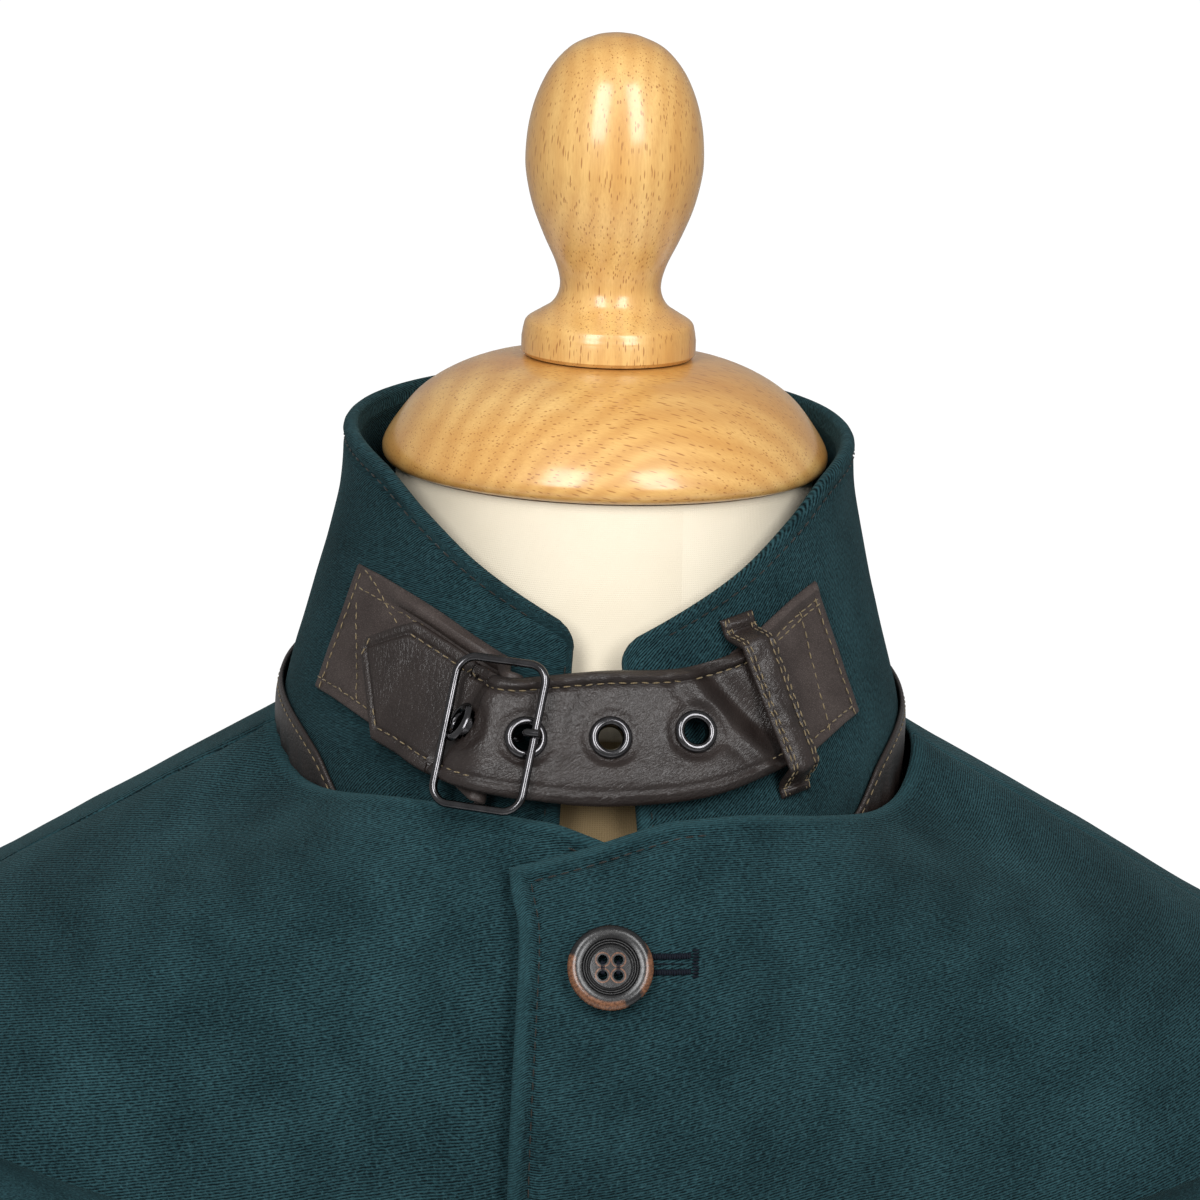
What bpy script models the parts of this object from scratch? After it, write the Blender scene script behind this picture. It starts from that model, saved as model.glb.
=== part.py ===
"""A moleskin jacket with a turned-up collar and leather throat strap, worn by a turned-wood and
calico dress form.

Metres, +Z up.  The jacket faces -Y, +X is the wearer's left.  The origin is under the middle of the stand.
Every cloth piece is a thin wall: its outer points come from the named sizes below, its inner points
lie one wall inside.
"""
import math
import bmesh
import bpy
from mathutils import Matrix, Vector

# ---------------------------------------------------------------- driving sizes, metres and degrees
SEAM_GAP = 0.0003
BODY_WALL = 0.0022
FRONT_WALL = 0.0025
SLEEVE_WALL = 0.0020
COLLAR_WALL = 0.0040
BAND_WALL = 0.0012
PATCH_WALL = 0.0015
STRAP_WALL = 0.0020
NECKLINE_Z = 1.4225
HEM_Z = 0.7150
HEM_DOWN = NECKLINE_Z - HEM_Z
# The neckline dips between the front and the shoulder, and the dip fades out down the chest.
NECKLINE_DIP = 0.0100
NECKLINE_DIP_SKEW = 1.7
NECKLINE_DIP_FADE = 0.0500

# The body's rings, from the neckline to the hem.  down: below the neckline at centre front.
# front_y, back_y, back_z: the ring at centre front and back.  side_x, side_z: the ring at the
# shoulder or side seam.
# square: 2 for an ellipse, more for a fuller chest.
BODY_RINGS = [
    {"down": 0.000, "front_y": -0.0930, "side_x": 0.0890,
     "side_z": 1.4275, "back_y": 0.0815, "back_z": 1.4400, "square": 2.00},
    {"down": 0.020, "front_y": -0.1065, "side_x": 0.1180,
     "side_z": 1.4095, "back_y": 0.095, "back_z": 1.4180, "square": 2.05},
    {"down": 0.050, "front_y": -0.1195, "side_x": 0.1580,
     "side_z": 1.3875, "back_y": 0.108, "back_z": 1.3860, "square": 2.15},
    {"down": 0.090, "front_y": -0.1300, "side_x": 0.2010,
     "side_z": 1.3605, "back_y": 0.118, "back_z": 1.3450, "square": 2.25},
    {"down": 0.140, "front_y": -0.1365, "side_x": 0.2260,
     "side_z": 1.3170, "back_y": 0.124, "back_z": 1.2950, "square": 2.35},
    {"down": 0.200, "front_y": -0.1385, "side_x": 0.2280,
     "side_z": 1.2520, "back_y": 0.124, "back_z": 1.2350, "square": 2.40},
    {"down": 0.260, "front_y": -0.1370, "side_x": 0.2150,
     "side_z": 1.1790, "back_y": 0.119, "back_z": 1.1700, "square": 2.40},
    {"down": 0.335, "front_y": -0.1310, "side_x": 0.2060,
     "side_z": 1.0920, "back_y": 0.110, "back_z": 1.0905, "square": 2.35},
    {"down": 0.425, "front_y": -0.1230, "side_x": 0.1950,
     "side_z": 1.0000, "back_y": 0.102, "back_z": 1.0005, "square": 2.30},
    {"down": 0.545, "front_y": -0.1270, "side_x": 0.2110,
     "side_z": 0.8800, "back_y": 0.114, "back_z": 0.8805, "square": 2.30},
    {"down": 0.7105, "front_y": -0.1330, "side_x": 0.2330,
     "side_z": 0.7150, "back_y": 0.127, "back_z": 0.7150, "square": 2.30},
]
SHOULDER_TIP_DOWN = 0.105
UNDERARM_DOWN = 0.262
ARMHOLE_CUT_FRONT = 40.0
ARMHOLE_CUT_BACK = 36.0

# The centre front: how far each front reaches past the middle, and how its top edge drops towards
# the corner.
OVERLAP_TOP = 0.0210
OVERLAP_LOW = 0.0235
OVERLAP_LIFT = 0.0036
OVERLAP_EASE = 0.0280
CORNER_DROP = 0.0125
CORNER_START = 0.0160

# The sleeve's sections down the arm.  tilt: 90 stands upright like the armhole, 0 lies level like the cuff.
# across: half the section from the outside of the arm to the body.  deep: half of it from front to back.
SLEEVE_SECTIONS = [
    {"along": 0.00, "x": 0.2130, "y": 0.000, "z": 1.2640, "across": 0.0880, "deep": 0.0880, "tilt": 84.0},
    {"along": 0.10, "x": 0.2470, "y": 0.000, "z": 1.2560, "across": 0.0800, "deep": 0.0870, "tilt": 68.0},
    {"along": 0.21, "x": 0.2670, "y": 0.000, "z": 1.2250, "across": 0.0630, "deep": 0.0830, "tilt": 40.0},
    {"along": 0.32, "x": 0.2680, "y": 0.001, "z": 1.1650, "across": 0.0490, "deep": 0.0790, "tilt": 14.0},
    {"along": 0.42, "x": 0.2680, "y": 0.002, "z": 1.1100, "across": 0.0440, "deep": 0.0750, "tilt": 2.0},
    {"along": 0.62, "x": 0.2710, "y": 0.003, "z": 0.9850, "across": 0.0410, "deep": 0.0690, "tilt": 0.0},
    {"along": 0.82, "x": 0.2770, "y": -0.010, "z": 0.8500, "across": 0.0370, "deep": 0.0610, "tilt": 0.0},
    {"along": 1.00, "x": 0.2830, "y": -0.026, "z": 0.7340, "across": 0.0340, "deep": 0.0550, "tilt": 0.0},
]
SLEEVE_BLEND = 0.17

# The standing collar.  Its rim rises from the front points to the back of the neck.
COLLAR_RIM = [
    {"turn": 0.0, "z": 1.4640}, {"turn": 14.0, "z": 1.4725}, {"turn": 30.0, "z": 1.4825},
    {"turn": 46.0, "z": 1.4940},
    {"turn": 62.0, "z": 1.5040}, {"turn": 90.0, "z": 1.5100}, {"turn": 135.0, "z": 1.5140},
    {"turn": 180.0, "z": 1.5160},
]
COLLAR_BASE_FRONT_Z, COLLAR_BASE_SIDE_Z, COLLAR_BASE_BACK_Z = 1.4120, 1.4130, 1.4290
COLLAR_KNEE_FRONT_Z, COLLAR_KNEE_SIDE_Z, COLLAR_KNEE_BACK_Z = 1.4840, 1.4980, 1.5060
COLLAR_SIDE, COLLAR_FRONT, COLLAR_BACK = 0.0690, 0.0640, 0.0655
COLLAR_SHIFT = 0.0016
# How far the collar flares out, by the distance below its knee.
COLLAR_FLARE = [
    {"below": -0.030, "side": -0.0004, "front": -0.0006, "back": -0.0004},
    {"below": 0.000, "side": 0.0000, "front": 0.0000, "back": 0.0000},
    {"below": 0.020, "side": 0.0036, "front": 0.0056, "back": 0.0020},
    {"below": 0.040, "side": 0.0086, "front": 0.0135, "back": 0.0050},
    {"below": 0.056, "side": 0.0130, "front": 0.0205, "back": 0.0078},
    {"below": 0.064, "side": 0.0144, "front": 0.0236, "back": 0.0090},
    {"below": 0.080, "side": 0.0138, "front": 0.0238, "back": 0.0092},
]
COLLAR_EDGE_RIGHT_TOP, COLLAR_EDGE_RIGHT_LOW = -0.0100, -0.0135
COLLAR_EDGE_LEFT_TOP, COLLAR_EDGE_LEFT_LOW = 0.0025, 0.0080
COLLAR_CORNER = 0.0045

# The leather band sewn round the outside of the collar's base.
BAND_TOP = [
    {"turn": 53.0, "z": 1.4215}, {"turn": 68.0, "z": 1.4330}, {"turn": 90.0, "z": 1.4400},
    {"turn": 125.0, "z": 1.4480}, {"turn": 180.0, "z": 1.4520},
]
BAND_BASE_RISE = 0.0015
BAND_GAP = 0.0007

# The dress form and its stand.
NECK_TOP_Z = 1.4990
CAP_PROFILE = [
    (0.0000, 0.0000), (0.0560, 0.0000), (0.0585, 0.0008), (0.0598, 0.0030), (0.0594, 0.0062),
    (0.0565, 0.0112),
    (0.0510, 0.0182), (0.0435, 0.0236), (0.0340, 0.0276), (0.0230, 0.0296), (0.0000, 0.0298),
]
FINIAL_PROFILE = [
    (0.0000, 0.0000), (0.0225, 0.0000), (0.0234, 0.0010), (0.0234, 0.0046), (0.0225, 0.0058),
    (0.0230, 0.0070),
    (0.0222, 0.0092), (0.0190, 0.0113), (0.0157, 0.0135), (0.0139, 0.0165), (0.0136, 0.0200),
    (0.0150, 0.0250),
    (0.0183, 0.0320), (0.0215, 0.0400), (0.0234, 0.0480), (0.0238, 0.0540), (0.0231, 0.0620),
    (0.0211, 0.0700),
    (0.0176, 0.0775), (0.0125, 0.0834), (0.0065, 0.0864), (0.0000, 0.0872),
]
POLE_RADIUS = 0.0160
BASE_PROFILE = [
    (0.0000, 0.0000), (0.1885, 0.0000), (0.1900, 0.0015), (0.1900, 0.0150), (0.1850, 0.0195),
    (0.0600, 0.0240), (0.0300, 0.0330), (0.0000, 0.0330),
]

# Buttons down the centre front.
BUTTON_COUNT = 4
BUTTON_TOP_Z = 1.3905
BUTTON_INSET = 0.0227
BUTTON_STEP = 0.1050
BUTTON_STAND = 0.0016
# Radius and height of the turned face, from the back's middle to the front's middle.
BUTTON_PROFILE = [
    (0.0000, 0.0000), (0.0074, 0.0000), (0.0099, 0.0011), (0.0105, 0.0024), (0.0101, 0.0037),
    (0.0090, 0.0042),
    (0.0075, 0.0039), (0.0064, 0.0032), (0.0000, 0.0029),
]
BUTTON_HOLE_SPREAD = 0.0020
BUTTON_HOLE_RADIUS = 0.0011


# ---------------------------------------------------------------- small maths
def through(rows, key, name, at):
    """The smooth curve through the rows' values called name, read where key is at."""
    last = len(rows) - 1
    at = min(max(at, rows[0][key]), rows[last][key])
    step = next(i for i in range(last) if at <= rows[i + 1][key])

    def slope(i):
        before, after = rows[max(i - 1, 0)], rows[min(i + 1, last)]
        return (after[name] - before[name]) / (after[key] - before[key])

    left, right = rows[step], rows[step + 1]
    width = right[key] - left[key]
    t = (at - left[key]) / width
    rise = t * t * (3 - 2 * t)
    bend_in = t * (1 - t) ** 2 * width * slope(step)
    bend_out = -t * t * (1 - t) * width * slope(step + 1)
    return left[name] * (1 - rise) + right[name] * rise + bend_in + bend_out


def smooth(t):
    """0 up to 0, 1 from 1, and an even rise between."""
    t = min(max(t, 0.0), 1.0)
    return t * t * (3 - 2 * t)


def mix(a, b, t):
    return a + (b - a) * t


def signed_power(value, power):
    return math.copysign(abs(value) ** power, value)


# ---------------------------------------------------------------- the body's surface
def body_point(turn, down):
    """The jacket's outer surface.  turn: degrees from centre front towards +X, 180 at centre back."""
    angle = math.radians(turn)
    ring = {name: through(BODY_RINGS, "down", name, down) for name in BODY_RINGS[0]}
    power = 2 / ring["square"]
    reach = signed_power(math.cos(angle), power)
    side = math.sin(angle) ** 2
    front_z = NECKLINE_Z - down
    end_y, end_z = (-ring["front_y"], front_z) if reach > 0 else (ring["back_y"], ring["back_z"])
    dip = 0.0
    if reach > 0:
        quarter = (fold_turn(turn) / 90.0) ** NECKLINE_DIP_SKEW
        dip = NECKLINE_DIP * math.sin(math.pi * quarter) ** 2 * (1 - smooth(down / NECKLINE_DIP_FADE))
    return Vector((
        ring["side_x"] * signed_power(math.sin(angle), power),
        -reach * end_y,
        mix(end_z, ring["side_z"], side) - dip,
    ))


def normal_of(point, u, v, du, dv, outward):
    """The unit normal of point(u, v), on the side of the direction outward."""
    along = point(u + du, v) - point(u - du, v)
    across = point(u, v + dv) - point(u, v - dv)
    normal = along.cross(across).normalized()
    return normal if normal.dot(outward) > 0 else -normal


def body_normal(turn, down):
    down = min(max(down, 0.002), HEM_DOWN - 0.002)
    turn = mix(turn, 90.0, 0.001)
    here = body_point(turn, down)
    outward = Vector((here.x, here.y, 0.03))
    return normal_of(body_point, turn, down, 0.6, 0.0015, outward)


def body_at(turn, down, out):
    """A point out metres off the body's outer surface."""
    return body_point(turn, down) + body_normal(turn, down) * out


def turn_at_x(x, down):
    """The turn from centre front where the body's surface is at this x."""
    side_x = through(BODY_RINGS, "down", "side_x", down)
    square = through(BODY_RINGS, "down", "square", down)
    return math.degrees(math.asin(signed_power(x / side_x, square / 2)))


def armhole_share(down):
    """0 at the shoulder tip, 1 at the underarm."""
    return (down - SHOULDER_TIP_DOWN) / (UNDERARM_DOWN - SHOULDER_TIP_DOWN)


def seam_turn(down, cut):
    """Where a panel ends: the shoulder or side seam at 90, cut back round the armhole."""
    share = armhole_share(down)
    if share <= 0 or share >= 1:
        return 90.0
    return 90.0 - cut * math.sqrt(1 - (2 * share - 1) ** 2)


def row_downs(start, shoulder, armhole, skirt):
    """The heights of a panel's rows, close together where the armhole turns."""
    downs = [mix(start, SHOULDER_TIP_DOWN, i / shoulder) for i in range(shoulder)]
    for i in range(armhole + 1):
        share = (1 - math.cos(math.pi * i / armhole)) / 2
        downs.append(mix(SHOULDER_TIP_DOWN, UNDERARM_DOWN, share))
    downs += [mix(UNDERARM_DOWN, HEM_DOWN, (i + 1) / skirt) for i in range(skirt)]
    return downs


# ---------------------------------------------------------------- the collar's surface
def around(turn, front, side, back):
    """A value that is front, side and back at turns of 0, 90 and 180."""
    angle = math.radians(turn)
    end = front if math.cos(angle) > 0 else back
    return mix(end, side, math.sin(angle) ** 2)


def fold_turn(turn):
    """The same distance from centre front on either side."""
    turn = abs((turn + 180) % 360 - 180)
    return turn


def collar_rim_z(turn):
    return through(COLLAR_RIM, "turn", "z", fold_turn(turn))


def collar_base_z(turn):
    return around(turn, COLLAR_BASE_FRONT_Z, COLLAR_BASE_SIDE_Z, COLLAR_BASE_BACK_Z)


def collar_point(turn, z):
    """The collar's outer surface at a turn from centre front and a height."""
    angle = math.radians(turn)
    below = around(turn, COLLAR_KNEE_FRONT_Z, COLLAR_KNEE_SIDE_Z, COLLAR_KNEE_BACK_Z) - z
    flare = {name: through(COLLAR_FLARE, "below", name, below) for name in ("side", "front", "back")}
    end = COLLAR_FRONT + flare["front"] if math.cos(angle) > 0 else COLLAR_BACK + flare["back"]
    x = (COLLAR_SIDE + flare["side"]) * math.sin(angle) - COLLAR_SHIFT * math.sin(angle) ** 2
    return Vector((x, -end * math.cos(angle), z))


def collar_normal(turn, z):
    angle = math.radians(turn)
    outward = Vector((math.sin(angle), -math.cos(angle), 0.0))
    return normal_of(collar_point, turn, z, 0.6, 0.001, outward)


def collar_at(turn, z, out):
    """A point out metres off the collar's outer surface."""
    return collar_point(turn, z) + collar_normal(turn, z) * out


# ---------------------------------------------------------------- the sleeve's surface
def armhole_point(around_arm):
    """The armhole's edge on the body.  around_arm: 0 at the shoulder tip, 90 in front, 180 under
    the arm."""
    angle = math.radians(around_arm)
    share = (1 - math.cos(angle)) / 2
    down = mix(SHOULDER_TIP_DOWN, UNDERARM_DOWN, share)
    cut = ARMHOLE_CUT_FRONT if math.sin(angle) > 0 else -ARMHOLE_CUT_BACK
    turn = 90.0 - cut * abs(math.sin(angle))
    return body_point(turn, down) + Vector((SEAM_GAP + 0.0001, 0, 0))


def sleeve_point(around_arm, along):
    """The sleeve's outer surface, from the armhole (along 0) to the cuff (along 1), on the +X side."""
    section = {name: through(SLEEVE_SECTIONS, "along", name, along) for name in SLEEVE_SECTIONS[0]}
    angle, tilt = math.radians(around_arm), math.radians(section["tilt"])
    outward = Vector((math.cos(tilt), 0, math.sin(tilt)))
    middle = Vector((section["x"], section["y"], section["z"]))
    forward = Vector((0, -section["deep"] * math.sin(angle), 0))
    oval = middle + outward * section["across"] * math.cos(angle) + forward
    return armhole_point(around_arm).lerp(oval, smooth(along / SLEEVE_BLEND))


def sleeve_at(around_arm, along, out):
    section = {name: through(SLEEVE_SECTIONS, "along", name, along) for name in ("x", "y", "z")}
    middle = Vector((section["x"], section["y"], section["z"]))
    here = sleeve_point(around_arm, along)
    read_at = min(max(along, 0.004), 0.996)
    normal = normal_of(sleeve_point, around_arm, read_at, 1.0, 0.004, here - middle)
    if along < SLEEVE_BLEND:
        flat = Vector((0, here.y - middle.y, here.z - middle.z)).normalized()
        normal = flat.lerp(normal, smooth(along / SLEEVE_BLEND)).normalized()
    return here + normal * out


# ---------------------------------------------------------------- building blocks
def finish(name, bm, material, sharp=40.0):
    """Makes a shaded, outward-facing object from bm."""
    bm.normal_update()
    bmesh.ops.recalc_face_normals(bm, faces=bm.faces)
    mesh = bpy.data.meshes.new(name)
    bm.to_mesh(mesh)
    bm.free()
    mesh.shade_smooth()
    mesh.set_sharp_from_angle(angle=math.radians(sharp))
    mesh.materials.append(material)
    obj = bpy.data.objects.new(name, mesh)
    bpy.context.collection.objects.link(obj)
    return obj


def wall(name, columns, rows, surface, thick, material):
    """A closed wall: a grid whose two faces follow surface(u, v, 0) and surface(u, v, thick), u and v
    from 0 to 1."""
    bm = bmesh.new()
    bmesh.ops.create_grid(bm, x_segments=columns, y_segments=rows, size=0.5)
    outside = list(bm.verts)
    made = bmesh.ops.extrude_face_region(bm, geom=bm.faces[:], use_keep_orig=True)["geom"]
    inside = [v for v in made if isinstance(v, bmesh.types.BMVert)]
    for verts, depth in ((outside, 0.0), (inside, thick)):
        for vert in verts:
            vert.co = surface(vert.co.x + 0.5, vert.co.y + 0.5, depth)
    return finish(name, bm, material)


def turned(name, profile, segments, base, material, axis=(0, 0, 1)):
    """A lathe-turned piece: profile of (radius, height) from its foot's middle to its top's middle."""
    bm = bmesh.new()
    chain = [bm.verts.new((radius, 0, height)) for radius, height in profile]
    for low, high in zip(chain, chain[1:]):
        bm.edges.new((low, high))
    bmesh.ops.spin(
        bm, geom=bm.verts[:] + bm.edges[:], cent=(0, 0, 0), axis=(0, 0, 1),
        angle=math.tau, steps=segments, use_merge=True,
    )
    bmesh.ops.remove_doubles(bm, verts=bm.verts, dist=1e-6)
    turn = Vector((0, 0, 1)).rotation_difference(Vector(axis).normalized()).to_matrix().to_4x4()
    bmesh.ops.transform(bm, matrix=Matrix.Translation(base) @ turn, verts=bm.verts)
    return finish(name, bm, material)


def lofted(name, rings, material):
    """A closed body through rings of points, capped at both ends."""
    bm = bmesh.new()
    loops = []
    for ring in rings:
        made = bmesh.ops.create_circle(bm, segments=len(ring), radius=1.0)["verts"]
        for vert, place in zip(made, ring):
            vert.co = place
        loops.append(made)
    for low, high in zip(loops, loops[1:]):
        edges = {e for v in low + high for e in v.link_edges if len(e.link_faces) < 2}
        ring_edges = [e for e in edges if all(v in low for v in e.verts) or all(v in high for v in e.verts)]
        bmesh.ops.bridge_loops(bm, edges=ring_edges)
    for loop in (loops[0], loops[-1]):
        bmesh.ops.contextual_create(bm, geom=loop)
    return finish(name, bm, material)


def wire(name, points, radius, material, cyclic, sides=2):
    """A round wire through points."""
    curve = bpy.data.curves.new(name, "CURVE")
    curve.dimensions = "3D"
    curve.bevel_depth = radius
    curve.bevel_resolution = sides
    curve.use_fill_caps = not cyclic
    spline = curve.splines.new("POLY")
    spline.points.add(len(points) - 1)
    for knot, place in zip(spline.points, points):
        knot.co = (*place, 1.0)
    spline.use_cyclic_u = cyclic
    curve.materials.append(material)
    obj = bpy.data.objects.new(name, curve)
    bpy.context.collection.objects.link(obj)
    return obj


def material(name, colour, roughness, metallic=0.0):
    mat = bpy.data.materials.new(name)
    mat.use_nodes = True
    shader = mat.node_tree.nodes["Principled BSDF"]
    shader.inputs["Base Color"].default_value = (*colour, 1)
    shader.inputs["Roughness"].default_value = roughness
    shader.inputs["Metallic"].default_value = metallic
    return mat


def cutter(name, radius, depth, place, axis, sides):
    """A hidden round cutter, its middle at place."""
    bm = bmesh.new()
    bmesh.ops.create_cone(
        bm, cap_ends=True, cap_tris=False, segments=sides, radius1=radius, radius2=radius, depth=depth
    )
    turn = Vector((0, 0, 1)).rotation_difference(Vector(axis).normalized()).to_matrix().to_4x4()
    bmesh.ops.transform(bm, matrix=Matrix.Translation(place) @ turn, verts=bm.verts)
    mesh = bpy.data.meshes.new(name)
    bm.to_mesh(mesh)
    bm.free()
    obj = bpy.data.objects.new(name, mesh)
    obj.hide_render = True
    obj.display_type = "WIRE"
    bpy.context.collection.objects.link(obj)
    return obj


def drill(obj, tool):
    cut = obj.modifiers.new(tool.name, "BOOLEAN")
    cut.operation = "DIFFERENCE"
    cut.solver = "EXACT"
    cut.object = tool


# ---------------------------------------------------------------- the throat strap's sizes
# Paths round the collar.  turn and z place a point on the collar, out lifts the leather's middle off it.
TAB_PATH = [
    {"turn": -64.2, "z": 1.4604, "out": 0.0012}, {"turn": -55.0, "z": 1.4588, "out": 0.0012},
    {"turn": -43.0, "z": 1.4546, "out": 0.0012}, {"turn": -33.0, "z": 1.4492, "out": 0.0013},
    {"turn": -28.8, "z": 1.4468, "out": 0.0014}, {"turn": -25.4, "z": 1.4450, "out": 0.0030},
]
TAB_HALF = 0.0175
STRAP_PATH = [
    {"turn": -49.5, "z": 1.4522, "out": 0.0034, "half": 0.0158},
    {"turn": -43.0, "z": 1.4500, "out": 0.0034, "half": 0.0158},
    {"turn": -36.0, "z": 1.4470, "out": 0.0036, "half": 0.0158},
    {"turn": -30.5, "z": 1.4440, "out": 0.0044, "half": 0.0158},
    {"turn": -28.4, "z": 1.4430, "out": 0.0053, "half": 0.0157},
    {"turn": -25.6, "z": 1.4416, "out": 0.0080, "half": 0.0155},
    {"turn": -23.2, "z": 1.4404, "out": 0.0106, "half": 0.0153},
    {"turn": -20.6, "z": 1.4394, "out": 0.0116, "half": 0.0153},
    {"turn": -16.2, "z": 1.4394, "out": 0.0104, "half": 0.0158},
    {"turn": -12.0, "z": 1.4400, "out": 0.0084, "half": 0.0165},
    {"turn": -6.0, "z": 1.4406, "out": 0.0068, "half": 0.0174},
    {"turn": 0.0, "z": 1.4412, "out": 0.0060, "half": 0.0178},
    {"turn": 14.0, "z": 1.4424, "out": 0.0060, "half": 0.0172},
    {"turn": 25.0, "z": 1.4460, "out": 0.0054, "half": 0.0164},
    {"turn": 36.0, "z": 1.4508, "out": 0.0038, "half": 0.0160},
]
STRAP_POINT = 0.0130
STRAP_TIP_HALF = 0.0015
STRAP_TIP_RISE = 0.0030
PATCH_PATH = [
    {"turn": 31.0, "z": 1.4478, "out": 0.0012}, {"turn": 38.0, "z": 1.4522, "out": 0.0012},
    {"turn": 45.0, "z": 1.4560, "out": 0.0012}, {"turn": 51.8, "z": 1.4586, "out": 0.0012},
]
PATCH_HALF = 0.0172
BAR_TURN = -20.9
BAR_OUT = 0.0070
BUCKLE_WIRE = 0.0011
# The buckle frame's two sides: how far each lies from the centre bar, along the strap and outwards.
BUCKLE_LEFT, BUCKLE_RIGHT = 0.0124, 0.0126
BUCKLE_LEFT_OUT, BUCKLE_RIGHT_OUT = 0.0019, 0.0068
BUCKLE_LEAN = -3.0
BUCKLE_HALF = 0.0195
BUCKLE_CORNER = 0.0050
PRONG_WIRE = 0.0010
# The prong after its eye: along the strap and outwards from the centre bar.
PRONG_PATH = [
    (0.0040, 0.0008, 0.0006), (0.0066, 0.0004, 0.0013), (0.0081, 0.0013, 0.0018), (0.0092, 0.0042, 0.0021),
    (0.0100, 0.0070, 0.0023), (0.0110, 0.0088, 0.0025), (0.0142, 0.0092, 0.0030),
]
EYELET_TURNS = {"eyelet_1": -24.3, "eyelet_2": -15.0, "eyelet_3": -0.4, "eyelet_4": 15.0}
EYELET_HOLE, EYELET_BARREL, EYELET_RIM, EYELET_CUT = 0.0031, 0.0036, 0.0054, 0.0041
EYELET_SEAT = 0.0003
KEEPER_TOP = {"turn": 27.4, "z": 1.4680}
KEEPER_LOW = {"turn": 35.6, "z": 1.4285}
KEEPER_HALF = 0.0050
KEEPER_WALL = 0.0016
KEEPER_OUT = 0.0086


def along_collar(rows, turn):
    """The leather's middle, its outward direction and its upward direction at a turn on a path."""
    here = collar_place(rows, turn)
    ahead = (collar_place(rows, turn + 0.4) - collar_place(rows, turn - 0.4)).normalized()
    outward = collar_normal(turn, through(rows, "turn", "z", turn))
    upward = outward.cross(ahead).normalized()
    upward = upward if upward.z > 0 else -upward
    normal = ahead.cross(upward).normalized()
    return here, normal if normal.dot(outward) > 0 else -normal, upward


def collar_place(rows, turn):
    first, last = rows[0]["turn"], rows[-1]["turn"]
    held = min(max(turn, first), last)
    here = collar_at(held, through(rows, "turn", "z", held), through(rows, "turn", "out", held))
    if held == turn:
        return here
    inner = held + (0.5 if turn < first else -0.5)
    near = collar_at(inner, through(rows, "turn", "z", inner), through(rows, "turn", "out", inner))
    return here + (here - near) * (abs(turn - held) / 0.5)


def ribbon(name, stations, half_at, thick, rows, material):
    """A strip of leather.  stations: its middle points with outward and upward directions, from
    end to end."""
    columns = len(stations) - 1

    def surface(u, v, inward):
        middle, outward, upward = stations[round(u * columns)]
        return middle + upward * (2 * v - 1) * half_at(round(u * columns)) + outward * (thick / 2 - inward)

    return wall(name, columns, rows, surface, thick, material)


# ---------------------------------------------------------------- the jacket's cloth
def overlap_at(down):
    """How far the upper front reaches past the middle."""
    return mix(OVERLAP_TOP, OVERLAP_LOW, smooth(down / 0.09))


def make_front(name, side, cloth):
    """One front, its edge past the middle.  side 1 is the wearer's left, which lies over the right."""
    over = side > 0
    downs = row_downs(0.0, 6, 9, 7)
    rows, columns = len(downs) - 1, 15
    cut = ARMHOLE_CUT_FRONT

    def surface(u, v, inward):
        level = downs[round(v * rows)]
        edge_x = -overlap_at(level) * (1.0 if over else 0.9)
        share = (round(u * columns) / columns) ** 1.2
        seam = seam_turn(level, cut)
        if seam == 90.0:
            seam = 90.0 - seam_offset(level)
        turn = mix(turn_at_x(edge_x, level), seam, share)
        x = body_point(turn, level).x
        drop = CORNER_DROP * max((CORNER_START - x) / (CORNER_START + OVERLAP_TOP), 0.0) ** 1.4
        down = level + drop * (1 - smooth(level / 0.03))
        lift = OVERLAP_LIFT * (1 - smooth((x - 1.25 * OVERLAP_TOP) / OVERLAP_EASE)) if over else 0.0
        place = body_at(turn, down, lift - inward)
        place.x *= side
        return place

    return wall(name, columns, rows, surface, FRONT_WALL, cloth)


def seam_offset(down):
    """The turn that leaves half a seam gap before the side of the body."""
    depth = -through(BODY_RINGS, "down", "front_y", down)
    square = through(BODY_RINGS, "down", "square", down)
    return math.degrees(math.asin((0.65 * SEAM_GAP / depth) ** (square / 2)))


def make_back(cloth):
    downs = row_downs(0.0, 6, 9, 7)
    rows, columns = len(downs) - 1, 20

    def surface(u, v, inward):
        level = downs[round(v * rows)]
        seam = seam_turn(level, ARMHOLE_CUT_BACK)
        reach = 90.0 - seam_offset(level) if seam == 90.0 else seam
        turn = 180.0 - reach + 2 * reach * u
        return body_at(turn, level, -inward)

    return wall("back", columns, rows, surface, BODY_WALL, cloth)


def make_sleeve(name, side, start, end, columns, cloth):
    rows = 15

    def surface(u, v, inward):
        gap = math.degrees(SEAM_GAP * 0.6 / 0.055)
        turn = mix(start, end, u)
        if u < 0.001:
            turn += gap
        if u > 0.999:
            turn -= gap
        place = sleeve_at(turn, v ** 1.25, -inward)
        place.x *= side
        return place

    return wall(name, columns, rows, surface, SLEEVE_WALL, cloth)


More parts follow.
